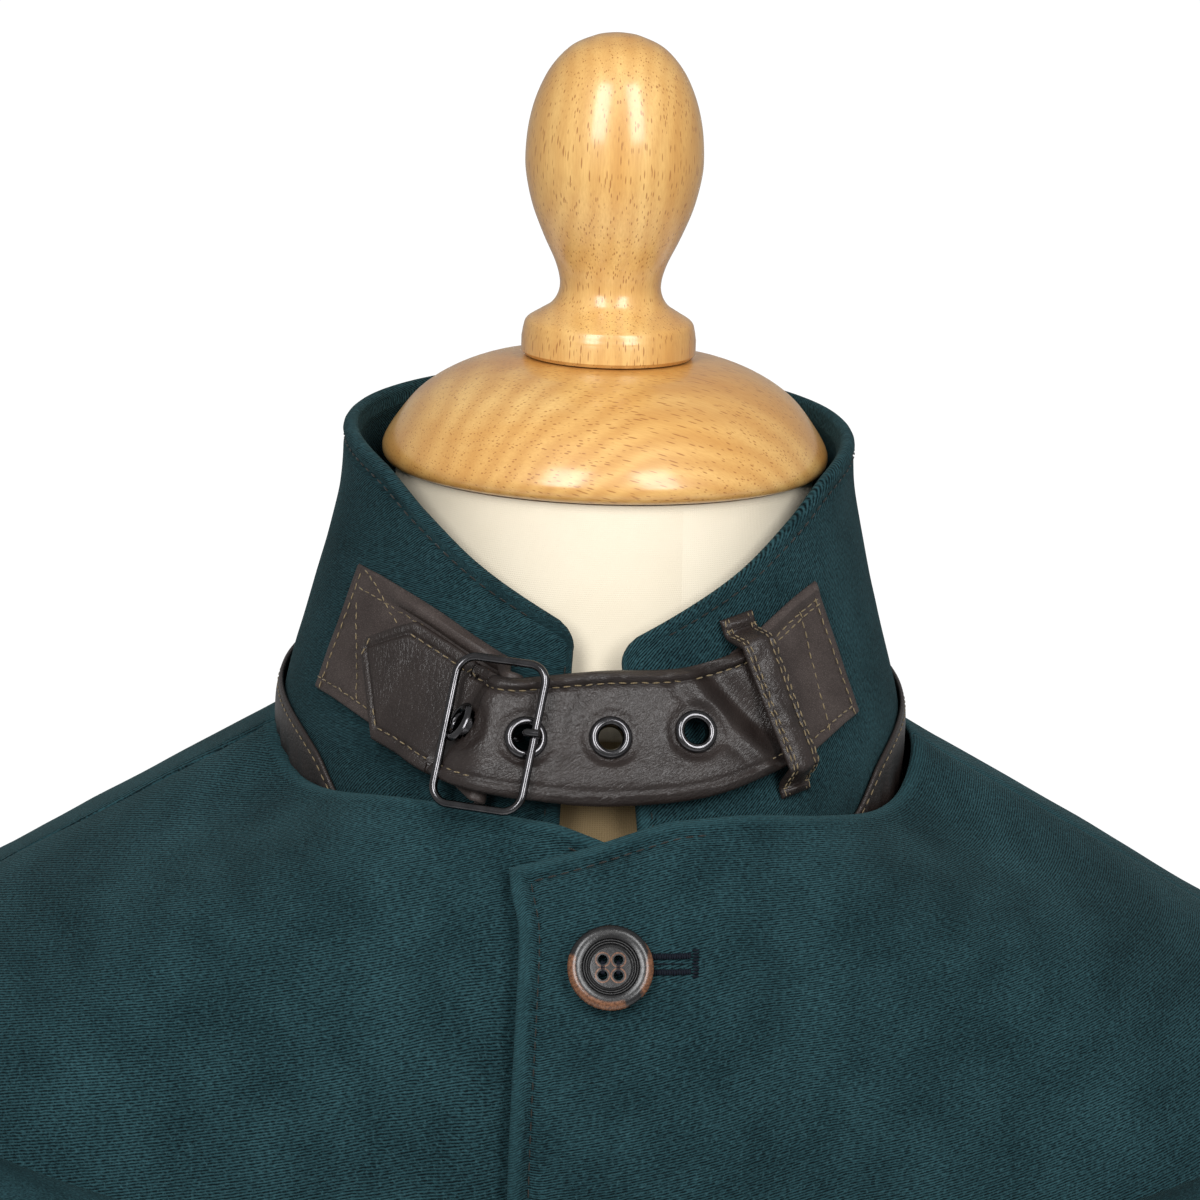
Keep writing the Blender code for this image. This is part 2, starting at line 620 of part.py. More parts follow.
def make_collar(cloth):
    columns, rows = 44, 7
    near_edge = [0.0, 0.0008, 0.0022, 0.0045]

    def edge_turns(share):
        """Where the collar's two front edges are, at a share of its height."""
        right_x = mix(COLLAR_EDGE_RIGHT_LOW, COLLAR_EDGE_RIGHT_TOP, share)
        left_x = mix(COLLAR_EDGE_LEFT_LOW, COLLAR_EDGE_LEFT_TOP, share)
        half = COLLAR_SIDE + mix(0.0140, 0.0030, share)
        return math.degrees(math.asin(left_x / half)), 360 + math.degrees(math.asin(right_x / half))

    def surface(u, v, inward):
        column = round(u * columns)
        left, right = edge_turns(v)
        last = len(near_edge) - 1
        from_edge = min(column, columns - column)
        reach = math.degrees(near_edge[min(from_edge, last)] / COLLAR_SIDE)
        if column <= last:
            turn = left + reach
        elif from_edge <= last:
            turn = right - reach
        else:
            span = right - left - 2 * reach
            turn = left + reach + span * (column - last) / (columns - 2 * last)
        inset = COLLAR_CORNER - near_edge[min(from_edge, last)]
        dip = COLLAR_CORNER - math.sqrt(max(COLLAR_CORNER ** 2 - inset ** 2, 0.0))
        bottom, top = collar_base_z(turn), collar_rim_z(turn) - dip
        return collar_at(turn, mix(bottom, top, v), -inward)

    return wall("collar", columns, rows, surface, COLLAR_WALL, cloth)


def make_band(leather):
    columns, rows = 32, 3
    first = BAND_TOP[0]["turn"]

    def surface(u, v, out):
        turn = mix(first, 360 - first, u)
        bottom = collar_base_z(turn) + BAND_BASE_RISE
        top = max(through(BAND_TOP, "turn", "z", fold_turn(turn)), bottom + 0.003)
        return collar_at(turn, mix(bottom, top, v), BAND_GAP + out)

    return wall("undercollar_band", columns, rows, surface, BAND_WALL, leather)


# ---------------------------------------------------------------- the throat strap
def path_stations(rows, count):
    first, last = rows[0]["turn"], rows[-1]["turn"]
    return [along_collar(rows, mix(first, last, i / count)) for i in range(count + 1)]


def bar_frame():
    """The centre bar's middle with the along, outward and upward directions there."""
    z = through(STRAP_PATH, "turn", "z", BAR_TURN)
    middle = collar_at(BAR_TURN, z, BAR_OUT)
    _, outward, upward = along_collar(STRAP_PATH, BAR_TURN)
    outward = collar_normal(BAR_TURN, z)
    along = upward.cross(outward).normalized()
    along = along if along.x > 0 else -along
    upward = outward.cross(along).normalized()
    upward = upward if upward.z > 0 else -upward
    lean = Matrix.Rotation(math.radians(-BUCKLE_LEAN), 3, upward.cross(along))
    if (lean @ upward).x < upward.x:
        lean.transpose()
    return middle, lean @ along, outward, lean @ upward


def make_tab(leather):
    """The buckle's tab: sewn flat on the collar, folded round the centre bar."""
    stations = path_stations(TAB_PATH, 10)
    middle, along, outward, upward = bar_frame()
    radius = BUCKLE_WIRE + SEAM_GAP + PATCH_WALL / 2
    for i in range(8):
        angle = math.radians(110 - i * 32)
        ray = along * math.cos(angle) + outward * math.sin(angle)
        stations.append((middle + ray * radius, ray, upward))
    obj = ribbon("buckle_tab", stations, lambda i: TAB_HALF, PATCH_WALL, 4, leather)
    slot = box_cutter("tab_slot", middle, (along, outward, upward), (0.0050, 0.0050, 0.0019))
    drill(obj, slot)
    return obj


def box_cutter(name, middle, axes, halves):
    bm = bmesh.new()
    bmesh.ops.create_cube(bm, size=2.0)
    for vert in bm.verts:
        offset = Vector((0, 0, 0))
        for axis, half, share in zip(axes, halves, vert.co):
            offset += axis * half * share
        vert.co = middle + offset
    bm.normal_update()
    bmesh.ops.recalc_face_normals(bm, faces=bm.faces)
    mesh = bpy.data.meshes.new(name)
    bm.to_mesh(mesh)
    bm.free()
    obj = bpy.data.objects.new(name, mesh)
    obj.hide_render = True
    obj.display_type = "WIRE"
    bpy.context.collection.objects.link(obj)
    return obj


def make_strap(leather):
    count = 38
    stations = path_stations(STRAP_PATH, count)
    travelled = [0.0]
    for before, after in zip(stations, stations[1:]):
        travelled.append(travelled[-1] + (after[0] - before[0]).length)

    first, last = STRAP_PATH[0]["turn"], STRAP_PATH[-1]["turn"]
    for i, (middle, outward, upward) in enumerate(stations):
        rise = STRAP_TIP_RISE * (1 - min(travelled[i] / STRAP_POINT, 1.0))
        stations[i] = (middle + upward * rise, outward, upward)

    def half_at(i):
        half = through(STRAP_PATH, "turn", "half", mix(first, last, i / count))
        return mix(STRAP_TIP_HALF, half, min(travelled[i] / STRAP_POINT, 1.0))

    obj = ribbon("throat_strap", stations, half_at, STRAP_WALL, 4, leather)
    for name, turn in EYELET_TURNS.items():
        middle, outward, _ = along_collar(STRAP_PATH, turn)
        drill(obj, cutter("cut_" + name, EYELET_CUT, 0.008, middle, outward, 12))
    return obj


def make_patch(leather):
    stations = path_stations(PATCH_PATH, 7)
    return ribbon("anchor_patch", stations, lambda i: PATCH_HALF, PATCH_WALL, 4, leather)


def make_keeper(leather):
    """The slanted keeper: over the strap, with both ends turned down to the collar."""
    steps = 12
    stations = []
    for i in range(steps + 1):
        share = i / steps
        turn = mix(KEEPER_TOP["turn"], KEEPER_LOW["turn"], share)
        z = mix(KEEPER_TOP["z"], KEEPER_LOW["z"], share)
        ends = smooth(min(share, 1 - share) / 0.09)
        stations.append([collar_at(turn, z, mix(0.0012, KEEPER_OUT, ends)), collar_normal(turn, z)])
    points = [p for p, _ in stations]
    placed = []
    for i, (point, outward) in enumerate(stations):
        ahead = (points[min(i + 1, steps)] - points[max(i - 1, 0)]).normalized()
        across = outward.cross(points[steps] - points[0]).normalized()
        normal = across.cross(ahead).normalized()
        normal = normal if normal.dot(outward) > 0 else -normal
        placed.append((point, normal, across))
    return ribbon("keeper", placed, lambda i: KEEPER_HALF, KEEPER_WALL, 2, leather)


def make_buckle(metal):
    middle, along, outward, upward = bar_frame()

    def place(a, u):
        share = (a + BUCKLE_LEFT) / (BUCKLE_LEFT + BUCKLE_RIGHT)
        return middle + along * a + upward * u + outward * mix(BUCKLE_LEFT_OUT, BUCKLE_RIGHT_OUT, share)

    corners = [
        (BUCKLE_RIGHT, BUCKLE_HALF, 0.0), (-BUCKLE_LEFT, BUCKLE_HALF, 90.0),
        (-BUCKLE_LEFT, -BUCKLE_HALF, 180.0), (BUCKLE_RIGHT, -BUCKLE_HALF, 270.0),
    ]
    frame = []
    for a, u, start in corners:
        centre_a = a - math.copysign(BUCKLE_CORNER, a)
        centre_u = u - math.copysign(BUCKLE_CORNER, u)
        for i in range(5):
            angle = math.radians(start + i * 22.5)
            round_a, round_u = BUCKLE_CORNER * math.cos(angle), BUCKLE_CORNER * math.sin(angle)
            frame.append(place(centre_a + round_a, centre_u + round_u))
    wire("buckle_frame", frame, BUCKLE_WIRE, metal, True)
    reach = BUCKLE_HALF - BUCKLE_WIRE * 2 - SEAM_GAP
    bar = [middle - upward * reach, middle, middle + upward * reach]
    wire("buckle_bar", bar, BUCKLE_WIRE, metal, False)
    make_prong(metal, middle, along, outward, upward)


def make_prong(metal, middle, along, outward, upward):
    """The prong: an eye round the bar, then up through the second eyelet onto the frame's right side."""
    eye = BUCKLE_WIRE + SEAM_GAP + PRONG_WIRE
    points = []
    for i in range(9):
        angle = math.radians(60 + i * 33)
        points.append(middle + (along * math.cos(angle) + outward * math.sin(angle)) * eye)
    points += [middle + along * a + outward * out + upward * rise for a, out, rise in PRONG_PATH]
    wire("buckle_prong", points, PRONG_WIRE, metal, False)


def make_eyelets(metal):
    half = STRAP_WALL / 2
    rim = half + EYELET_SEAT + 0.0001
    profile = [
        (EYELET_HOLE, -half), (EYELET_BARREL, -half), (EYELET_BARREL, rim), (EYELET_RIM, rim),
        (EYELET_RIM - 0.0004, rim + 0.0005), (EYELET_HOLE + 0.0008, rim + 0.0007),
        (EYELET_HOLE, rim + 0.0002),
    ]
    for name, turn in EYELET_TURNS.items():
        place, outward, _ = along_collar(STRAP_PATH, turn)
        bm = bmesh.new()
        chain = [bm.verts.new((radius, 0, height)) for radius, height in profile]
        for low, high in zip(chain, chain[1:] + chain[:1]):
            bm.edges.new((low, high))
        bmesh.ops.spin(
            bm, geom=bm.verts[:] + bm.edges[:], cent=(0, 0, 0), axis=(0, 0, 1),
            angle=math.tau, steps=14, use_merge=True,
        )
        bmesh.ops.remove_doubles(bm, verts=bm.verts, dist=1e-6)
        turn_to = Vector((0, 0, 1)).rotation_difference(outward).to_matrix().to_4x4()
        bmesh.ops.transform(bm, matrix=Matrix.Translation(place) @ turn_to, verts=bm.verts)
        finish(name, bm, metal)


# ---------------------------------------------------------------- buttons
def make_buttons(horn):
    foot = SEAM_GAP - BUTTON_STAND
    profile = [(0.0, foot), (0.0015, foot), (0.0015, 0.0)] + BUTTON_PROFILE[1:]
    for i in range(BUTTON_COUNT):
        down = NECKLINE_Z - (BUTTON_TOP_Z - i * BUTTON_STEP)
        turn = turn_at_x(BUTTON_INSET - overlap_at(down), down)
        outward = body_normal(turn, down)
        place = body_at(turn, down, OVERLAP_LIFT + BUTTON_STAND)
        obj = turned(f"button_{i + 1}", profile, 18, place, horn, outward)
        across = outward.cross(Vector((0, 0, 1))).normalized()
        upward = across.cross(outward).normalized()
        for row in (-1, 1):
            for column in (-1, 1):
                spot = place + (across * column + upward * row) * BUTTON_HOLE_SPREAD
                drill(obj, cutter(f"cut_{i}_{row}_{column}", BUTTON_HOLE_RADIUS, 0.016, spot, outward, 7))


# ---------------------------------------------------------------- the dress form and its stand
NECK_RINGS = [
    {"z": 1.4990, "side": 0.0560, "front": 0.0560, "back": 0.0560},
    {"z": 1.4750, "side": 0.0568, "front": 0.0575, "back": 0.0560},
    {"z": 1.4520, "side": 0.0585, "front": 0.0608, "back": 0.0572},
    {"z": 1.4340, "side": 0.0620, "front": 0.0668, "back": 0.0598},
    {"z": 1.4190, "side": 0.0680, "front": 0.0740, "back": 0.0650},
    {"z": 1.4065, "side": 0.0775, "front": 0.0815, "back": 0.0740},
]
# How far the form lies inside the jacket's outer surface.
FORM_RINGS = [
    {"down": 0.0270, "inside": 0.0066}, {"down": 0.0380, "inside": 0.0044},
    {"down": 0.0500, "inside": 0.0034},
    {"down": 0.0700, "inside": 0.0034}, {"down": 0.0900, "inside": 0.0040},
    {"down": 0.1150, "inside": 0.0060},
    {"down": 0.1400, "inside": 0.0085}, {"down": 0.1700, "inside": 0.0100},
    {"down": 0.2000, "inside": 0.0110},
    {"down": 0.2300, "inside": 0.0115}, {"down": 0.2620, "inside": 0.0120},
    {"down": 0.3350, "inside": 0.0130},
    {"down": 0.4250, "inside": 0.0140}, {"down": 0.5100, "inside": 0.0150},
    {"down": 0.5900, "inside": 0.0160},
    {"down": 0.6300, "inside": 0.0170},
]
FORM_SIDES = 32


def make_form(calico):
    turns = [360 * i / FORM_SIDES for i in range(FORM_SIDES)]
    rings = []
    for row in NECK_RINGS:
        ring = []
        for turn in turns:
            angle = math.radians(turn)
            end = row["front"] if math.cos(angle) > 0 else row["back"]
            ring.append(Vector((row["side"] * math.sin(angle), -end * math.cos(angle), row["z"])))
        rings.append(ring)
    for row in FORM_RINGS:
        rings.append([body_at(turn, row["down"], -row["inside"]) for turn in turns])
    foot_z = min(p.z for p in rings[-1]) - 0.008
    rings.append([Vector((p.x * 0.95, p.y * 0.93, foot_z)) for p in rings[-1]])
    return lofted("form_torso", rings, calico)


def make_stand(wood):
    turned("neck_cap", CAP_PROFILE, 32, Vector((0, 0, NECK_TOP_Z + SEAM_GAP)), wood)
    cap_top = NECK_TOP_Z + SEAM_GAP + CAP_PROFILE[-1][1]
    turned("finial", FINIAL_PROFILE, 20, Vector((0, 0, cap_top + SEAM_GAP)), wood)
    foot_z = min(v.co.z for v in bpy.data.objects["form_torso"].data.vertices)
    low, high = BASE_PROFILE[-1][1] + SEAM_GAP, foot_z - SEAM_GAP
    pole = [(0.0, 0.0), (POLE_RADIUS, 0.0), (POLE_RADIUS, high - low), (0.0, high - low)]
    turned("stand_pole", pole, 24, Vector((0, 0, low)), wood)
    turned("stand_base", BASE_PROFILE, 36, Vector((0, 0, 0)), wood)


# ---------------------------------------------------------------- the whole part
def main():
    for obj in list(bpy.data.objects):
        bpy.data.objects.remove(obj)
    moleskin = material("moleskin", (0.012, 0.060, 0.070), 0.95)
    leather = material("dark_leather", (0.070, 0.052, 0.046), 0.45)
    gunmetal = material("gunmetal", (0.16, 0.16, 0.17), 0.30, 1.0)
    horn = material("burnished_horn", (0.020, 0.017, 0.016), 0.30)
    beech = material("varnished_beech", (0.62, 0.34, 0.13), 0.25)
    calico = material("calico", (0.86, 0.80, 0.68), 0.90)
    make_form(calico)
    make_stand(beech)
    make_front("front_left", 1, moleskin)
    make_front("front_right", -1, moleskin)
    make_back(moleskin)
    for label, side in (("left", 1), ("right", -1)):
        make_sleeve(f"top_sleeve_{label}", side, -120.0, 120.0, 12, moleskin)
        make_sleeve(f"under_sleeve_{label}", side, 120.0, 240.0, 6, moleskin)
    make_collar(moleskin)
    make_band(leather)
    make_tab(leather)
    make_patch(leather)
    make_strap(leather)
    make_keeper(leather)
    make_buckle(gunmetal)
    make_eyelets(gunmetal)
    make_buttons(horn)


main()
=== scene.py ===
"""Looks of the moleskin jacket and of the dress form that it rests on.

Each cloth or leather piece is a fine wall laid on the same surface as its CAD node, from the same
named sizes, with its folds, rolled edges and sewing.  Metres, +Z up, -Y to the wearer's front.
"""
import math
from functools import lru_cache
import bmesh
import bpy
import numpy as np
from mathutils import Matrix, Vector, noise


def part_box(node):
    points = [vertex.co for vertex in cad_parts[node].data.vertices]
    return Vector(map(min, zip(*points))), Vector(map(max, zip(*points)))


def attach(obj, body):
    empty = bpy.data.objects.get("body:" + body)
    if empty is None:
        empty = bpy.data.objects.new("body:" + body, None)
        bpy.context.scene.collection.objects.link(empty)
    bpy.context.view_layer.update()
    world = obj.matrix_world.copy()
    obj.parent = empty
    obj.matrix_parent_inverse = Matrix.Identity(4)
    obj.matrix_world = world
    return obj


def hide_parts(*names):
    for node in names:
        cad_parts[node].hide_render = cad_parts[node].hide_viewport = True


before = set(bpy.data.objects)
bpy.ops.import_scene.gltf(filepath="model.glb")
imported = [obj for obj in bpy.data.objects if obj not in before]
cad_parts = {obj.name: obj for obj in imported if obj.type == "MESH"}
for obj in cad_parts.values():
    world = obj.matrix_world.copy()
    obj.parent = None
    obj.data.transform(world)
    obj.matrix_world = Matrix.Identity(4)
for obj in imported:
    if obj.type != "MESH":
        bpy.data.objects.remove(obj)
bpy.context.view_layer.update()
bpy.context.scene.view_settings.view_transform = "Standard"

# ------------ the camera, as in the photograph
LOOKS_AT = Vector((0.0, 0.0, 1.462))
CAMERA_AWAY = 1.65
CAMERA_TURN, CAMERA_RISE, CAMERA_ROLL = -3.0, 12.0, 1.9
CAMERA_LENS = 183.15

# ------------ the jacket's sizes, as in the solids
SEAM_GAP = 0.0003
BODY_WALL, FRONT_WALL, SLEEVE_WALL, COLLAR_WALL = 0.0022, 0.0025, 0.0020, 0.0040
BAND_WALL, PATCH_WALL, STRAP_WALL, KEEPER_WALL = 0.0012, 0.0015, 0.0020, 0.0016
NECKLINE_Z = 1.4225
HEM_Z = 0.7150
HEM_DOWN = NECKLINE_Z - HEM_Z
# The neckline dips between the front and the shoulder, and the dip fades out down the chest.
NECKLINE_DIP = 0.0100
NECKLINE_DIP_SKEW = 1.7
NECKLINE_DIP_FADE = 0.0500

# The body's rings, from the neckline to the hem.  down: below the neckline at centre front.
# front_y, back_y, back_z: the ring at centre front and back.  side_x, side_z: the ring at the
# shoulder or side seam.  square: 2 for an ellipse, more for a fuller chest.
BODY_RINGS = [
    {"down": 0.000, "front_y": -0.0930, "side_x": 0.0890,
     "side_z": 1.4275, "back_y": 0.0815, "back_z": 1.4400, "square": 2.00},
    {"down": 0.020, "front_y": -0.1065, "side_x": 0.1180,
     "side_z": 1.4095, "back_y": 0.095, "back_z": 1.4180, "square": 2.05},
    {"down": 0.050, "front_y": -0.1195, "side_x": 0.1580,
     "side_z": 1.3875, "back_y": 0.108, "back_z": 1.3860, "square": 2.15},
    {"down": 0.090, "front_y": -0.1300, "side_x": 0.2010,
     "side_z": 1.3605, "back_y": 0.118, "back_z": 1.3450, "square": 2.25},
    {"down": 0.140, "front_y": -0.1365, "side_x": 0.2260,
     "side_z": 1.3170, "back_y": 0.124, "back_z": 1.2950, "square": 2.35},
    {"down": 0.200, "front_y": -0.1385, "side_x": 0.2280,
     "side_z": 1.2520, "back_y": 0.124, "back_z": 1.2350, "square": 2.40},
    {"down": 0.260, "front_y": -0.1370, "side_x": 0.2150,
     "side_z": 1.1790, "back_y": 0.119, "back_z": 1.1700, "square": 2.40},
    {"down": 0.335, "front_y": -0.1310, "side_x": 0.2060,
     "side_z": 1.0920, "back_y": 0.110, "back_z": 1.0905, "square": 2.35},
    {"down": 0.425, "front_y": -0.1230, "side_x": 0.1950,
     "side_z": 1.0000, "back_y": 0.102, "back_z": 1.0005, "square": 2.30},
    {"down": 0.545, "front_y": -0.1270, "side_x": 0.2110,
     "side_z": 0.8800, "back_y": 0.114, "back_z": 0.8805, "square": 2.30},
    {"down": 0.7105, "front_y": -0.1330, "side_x": 0.2330,
     "side_z": 0.7150, "back_y": 0.127, "back_z": 0.7150, "square": 2.30},
]
SHOULDER_TIP_DOWN = 0.105
UNDERARM_DOWN = 0.262
ARMHOLE_CUT_FRONT = 40.0
ARMHOLE_CUT_BACK = 36.0

# The centre front: how far each front reaches past the middle, and how its top edge drops towards
# the corner.
OVERLAP_TOP = 0.0210
OVERLAP_LOW = 0.0235
OVERLAP_LIFT = 0.0036
OVERLAP_EASE = 0.0280
CORNER_DROP = 0.0125
CORNER_START = 0.0160

# The sleeve's sections down the arm.  tilt: 90 stands upright like the armhole, 0 lies level like the cuff.
# across: half the section from the outside of the arm to the body.  deep: half of it from front to back.
SLEEVE_SECTIONS = [
    {"along": 0.00, "x": 0.2130, "y": 0.000, "z": 1.2640, "across": 0.0880, "deep": 0.0880, "tilt": 84.0},
    {"along": 0.10, "x": 0.2470, "y": 0.000, "z": 1.2560, "across": 0.0800, "deep": 0.0870, "tilt": 68.0},
    {"along": 0.21, "x": 0.2670, "y": 0.000, "z": 1.2250, "across": 0.0630, "deep": 0.0830, "tilt": 40.0},
    {"along": 0.32, "x": 0.2680, "y": 0.001, "z": 1.1650, "across": 0.0490, "deep": 0.0790, "tilt": 14.0},
    {"along": 0.42, "x": 0.2680, "y": 0.002, "z": 1.1100, "across": 0.0440, "deep": 0.0750, "tilt": 2.0},
    {"along": 0.62, "x": 0.2710, "y": 0.003, "z": 0.9850, "across": 0.0410, "deep": 0.0690, "tilt": 0.0},
    {"along": 0.82, "x": 0.2770, "y": -0.010, "z": 0.8500, "across": 0.0370, "deep": 0.0610, "tilt": 0.0},
    {"along": 1.00, "x": 0.2830, "y": -0.026, "z": 0.7340, "across": 0.0340, "deep": 0.0550, "tilt": 0.0},
]
SLEEVE_BLEND = 0.17

# The standing collar.  Its rim rises from the front points to the back of the neck.
COLLAR_RIM = [
    {"turn": 0.0, "z": 1.4640}, {"turn": 14.0, "z": 1.4725}, {"turn": 30.0, "z": 1.4825},
    {"turn": 46.0, "z": 1.4940}, {"turn": 62.0, "z": 1.5040}, {"turn": 90.0, "z": 1.5100},
    {"turn": 135.0, "z": 1.5140}, {"turn": 180.0, "z": 1.5160},
]
COLLAR_BASE_FRONT_Z, COLLAR_BASE_SIDE_Z, COLLAR_BASE_BACK_Z = 1.4120, 1.4130, 1.4290
COLLAR_KNEE_FRONT_Z, COLLAR_KNEE_SIDE_Z, COLLAR_KNEE_BACK_Z = 1.4840, 1.4980, 1.5060
COLLAR_SIDE, COLLAR_FRONT, COLLAR_BACK = 0.0690, 0.0640, 0.0655
COLLAR_SHIFT = 0.0016
# How far the collar flares out, by the distance below its knee.
COLLAR_FLARE = [
    {"below": -0.030, "side": -0.0004, "front": -0.0006, "back": -0.0004},
    {"below": 0.000, "side": 0.0000, "front": 0.0000, "back": 0.0000},
    {"below": 0.020, "side": 0.0036, "front": 0.0056, "back": 0.0020},
    {"below": 0.040, "side": 0.0086, "front": 0.0135, "back": 0.0050},
    {"below": 0.056, "side": 0.0130, "front": 0.0205, "back": 0.0078},
    {"below": 0.064, "side": 0.0144, "front": 0.0236, "back": 0.0090},
    {"below": 0.080, "side": 0.0138, "front": 0.0238, "back": 0.0092},
]
COLLAR_EDGE_RIGHT_TOP, COLLAR_EDGE_RIGHT_LOW = -0.0100, -0.0135
COLLAR_EDGE_LEFT_TOP, COLLAR_EDGE_LEFT_LOW = 0.0025, 0.0080
COLLAR_CORNER = 0.0045

# The leather band sewn round the outside of the collar's base.
BAND_TOP = [
    {"turn": 53.0, "z": 1.4215}, {"turn": 68.0, "z": 1.4330}, {"turn": 90.0, "z": 1.4400},
    {"turn": 125.0, "z": 1.4480}, {"turn": 180.0, "z": 1.4520},
]
BAND_BASE_RISE = 0.0015
BAND_GAP = 0.0007

# The dress form's neck, its turned cap and finial, and the stand.  Profiles: radius and height.
NECK_TOP_Z = 1.4990
CAP_PROFILE = [
    (0.0000, 0.0000), (0.0560, 0.0000), (0.0585, 0.0008), (0.0598, 0.0030), (0.0594, 0.0062),
    (0.0565, 0.0112), (0.0510, 0.0182), (0.0435, 0.0236), (0.0340, 0.0276), (0.0230, 0.0296),
    (0.0000, 0.0298),
]
FINIAL_PROFILE = [
    (0.0000, 0.0000), (0.0225, 0.0000), (0.0234, 0.0010), (0.0234, 0.0046), (0.0232, 0.0058),
    (0.0230, 0.0070), (0.0222, 0.0092), (0.0190, 0.0113), (0.0157, 0.0135), (0.0139, 0.0165),
    (0.0136, 0.0200), (0.0150, 0.0250), (0.0183, 0.0320), (0.0215, 0.0400), (0.0234, 0.0480),
    (0.0238, 0.0540), (0.0231, 0.0620), (0.0211, 0.0697), (0.0176, 0.0769), (0.0125, 0.0825),
    (0.0065, 0.0854), (0.0030, 0.0862), (0.0010, 0.0864), (0.0000, 0.0864),
]
POLE_RADIUS, POLE_BEVEL = 0.0160, 0.001
BASE_PROFILE = [
    (0.0000, 0.0000), (0.1885, 0.0000), (0.1900, 0.0015), (0.1900, 0.0150), (0.1850, 0.0195),
    (0.0600, 0.0240), (0.0300, 0.0330), (0.0000, 0.0330),
]

NECK_RINGS = [
    {"z": 1.4990, "side": 0.0560, "front": 0.0560, "back": 0.0560},
    {"z": 1.4750, "side": 0.0568, "front": 0.0575, "back": 0.0560},
    {"z": 1.4520, "side": 0.0585, "front": 0.0608, "back": 0.0572},
    {"z": 1.4340, "side": 0.0620, "front": 0.0668, "back": 0.0598},
    {"z": 1.4190, "side": 0.0680, "front": 0.0740, "back": 0.0650},
    {"z": 1.4065, "side": 0.0775, "front": 0.0815, "back": 0.0740},
]
# How far the form lies inside the jacket's outer surface.
FORM_RINGS = [
    {"down": 0.027, "inside": 0.0066}, {"down": 0.038, "inside": 0.0044}, {"down": 0.050, "inside": 0.0034},
    {"down": 0.070, "inside": 0.0034}, {"down": 0.090, "inside": 0.0040}, {"down": 0.115, "inside": 0.0060},
    {"down": 0.140, "inside": 0.0085}, {"down": 0.170, "inside": 0.0100}, {"down": 0.200, "inside": 0.0110},
    {"down": 0.230, "inside": 0.0115}, {"down": 0.262, "inside": 0.0120}, {"down": 0.335, "inside": 0.0130},
    {"down": 0.425, "inside": 0.0140}, {"down": 0.510, "inside": 0.0150}, {"down": 0.590, "inside": 0.0160},
    {"down": 0.630, "inside": 0.0170},
]

# Buttons down the centre front.
BUTTON_COUNT = 4
BUTTON_TOP_Z = 1.3905
BUTTON_INSET = 0.0227
BUTTON_STEP = 0.1050
BUTTON_STAND = 0.0016
BUTTON_HOLE_SPREAD = 0.0020


# ------------ small maths
def through(rows, key, name, at):
    """The smooth curve through the rows' values called name, read where key is at."""
    last = len(rows) - 1
    at = min(max(at, rows[0][key]), rows[last][key])
    step = next(i for i in range(last) if at <= rows[i + 1][key])

    def slope(i):
        before, after = rows[max(i - 1, 0)], rows[min(i + 1, last)]
        return (after[name] - before[name]) / (after[key] - before[key])

    left, right = rows[step], rows[step + 1]
    width = right[key] - left[key]
    t = (at - left[key]) / width
    rise = t * t * (3 - 2 * t)
    bend_in = t * (1 - t) ** 2 * width * slope(step)
    bend_out = -t * t * (1 - t) * width * slope(step + 1)
    return left[name] * (1 - rise) + right[name] * rise + bend_in + bend_out


def smooth(t):
    """0 up to 0, 1 from 1, and an even rise between."""
    t = min(max(t, 0.0), 1.0)
    return t * t * (3 - 2 * t)


def mix(a, b, t):
    return a + (b - a) * t


def signed_power(value, power):
    return math.copysign(abs(value) ** power, value)


# ------------ the body's surface
def body_point(turn, down):
    """The jacket's outer surface.  turn: degrees from centre front towards +X, 180 at centre back."""
    angle = math.radians(turn)
    ring = {name: through(BODY_RINGS, "down", name, down) for name in BODY_RINGS[0]}
    power = 2 / ring["square"]
    reach = signed_power(math.cos(angle), power)
    side = math.sin(angle) ** 2
    front_z = NECKLINE_Z - down
    end_y, end_z = (-ring["front_y"], front_z) if reach > 0 else (ring["back_y"], ring["back_z"])
    dip = 0.0
    if reach > 0:
        quarter = (fold_turn(turn) / 90.0) ** NECKLINE_DIP_SKEW
        dip = NECKLINE_DIP * math.sin(math.pi * quarter) ** 2 * (1 - smooth(down / NECKLINE_DIP_FADE))
    return Vector((
        ring["side_x"] * signed_power(math.sin(angle), power),
        -reach * end_y,
        mix(end_z, ring["side_z"], side) - dip,
    ))


def normal_of(point, u, v, du, dv, outward):
    """The unit normal of point(u, v), on the side of the direction outward."""
    along = point(u + du, v) - point(u - du, v)
    across = point(u, v + dv) - point(u, v - dv)
    normal = along.cross(across).normalized()
    return normal if normal.dot(outward) > 0 else -normal


def body_normal(turn, down):
    down = min(max(down, 0.002), HEM_DOWN - 0.002)
    turn = mix(turn, 90.0, 0.001)
    here = body_point(turn, down)
    outward = Vector((here.x, here.y, 0.03))
    return normal_of(body_point, turn, down, 0.6, 0.0015, outward)


def body_at(turn, down, out):
    """A point out metres off the body's outer surface."""
    return body_point(turn, down) + body_normal(turn, down) * out


@lru_cache(maxsize=None)
def turn_at_x(x, down):
    """The turn from centre front where the body's surface is at this x."""
    side_x = through(BODY_RINGS, "down", "side_x", down)
    square = through(BODY_RINGS, "down", "square", down)
    return math.degrees(math.asin(signed_power(x / side_x, square / 2)))


def armhole_share(down):
    """0 at the shoulder tip, 1 at the underarm."""
    return (down - SHOULDER_TIP_DOWN) / (UNDERARM_DOWN - SHOULDER_TIP_DOWN)


@lru_cache(maxsize=None)
def seam_turn(down, cut):
    """Where a panel ends: the shoulder or side seam at 90, cut back round the armhole."""
    share = armhole_share(down)
    if share <= 0 or share >= 1:
        return 90.0
    return 90.0 - cut * math.sqrt(1 - (2 * share - 1) ** 2)


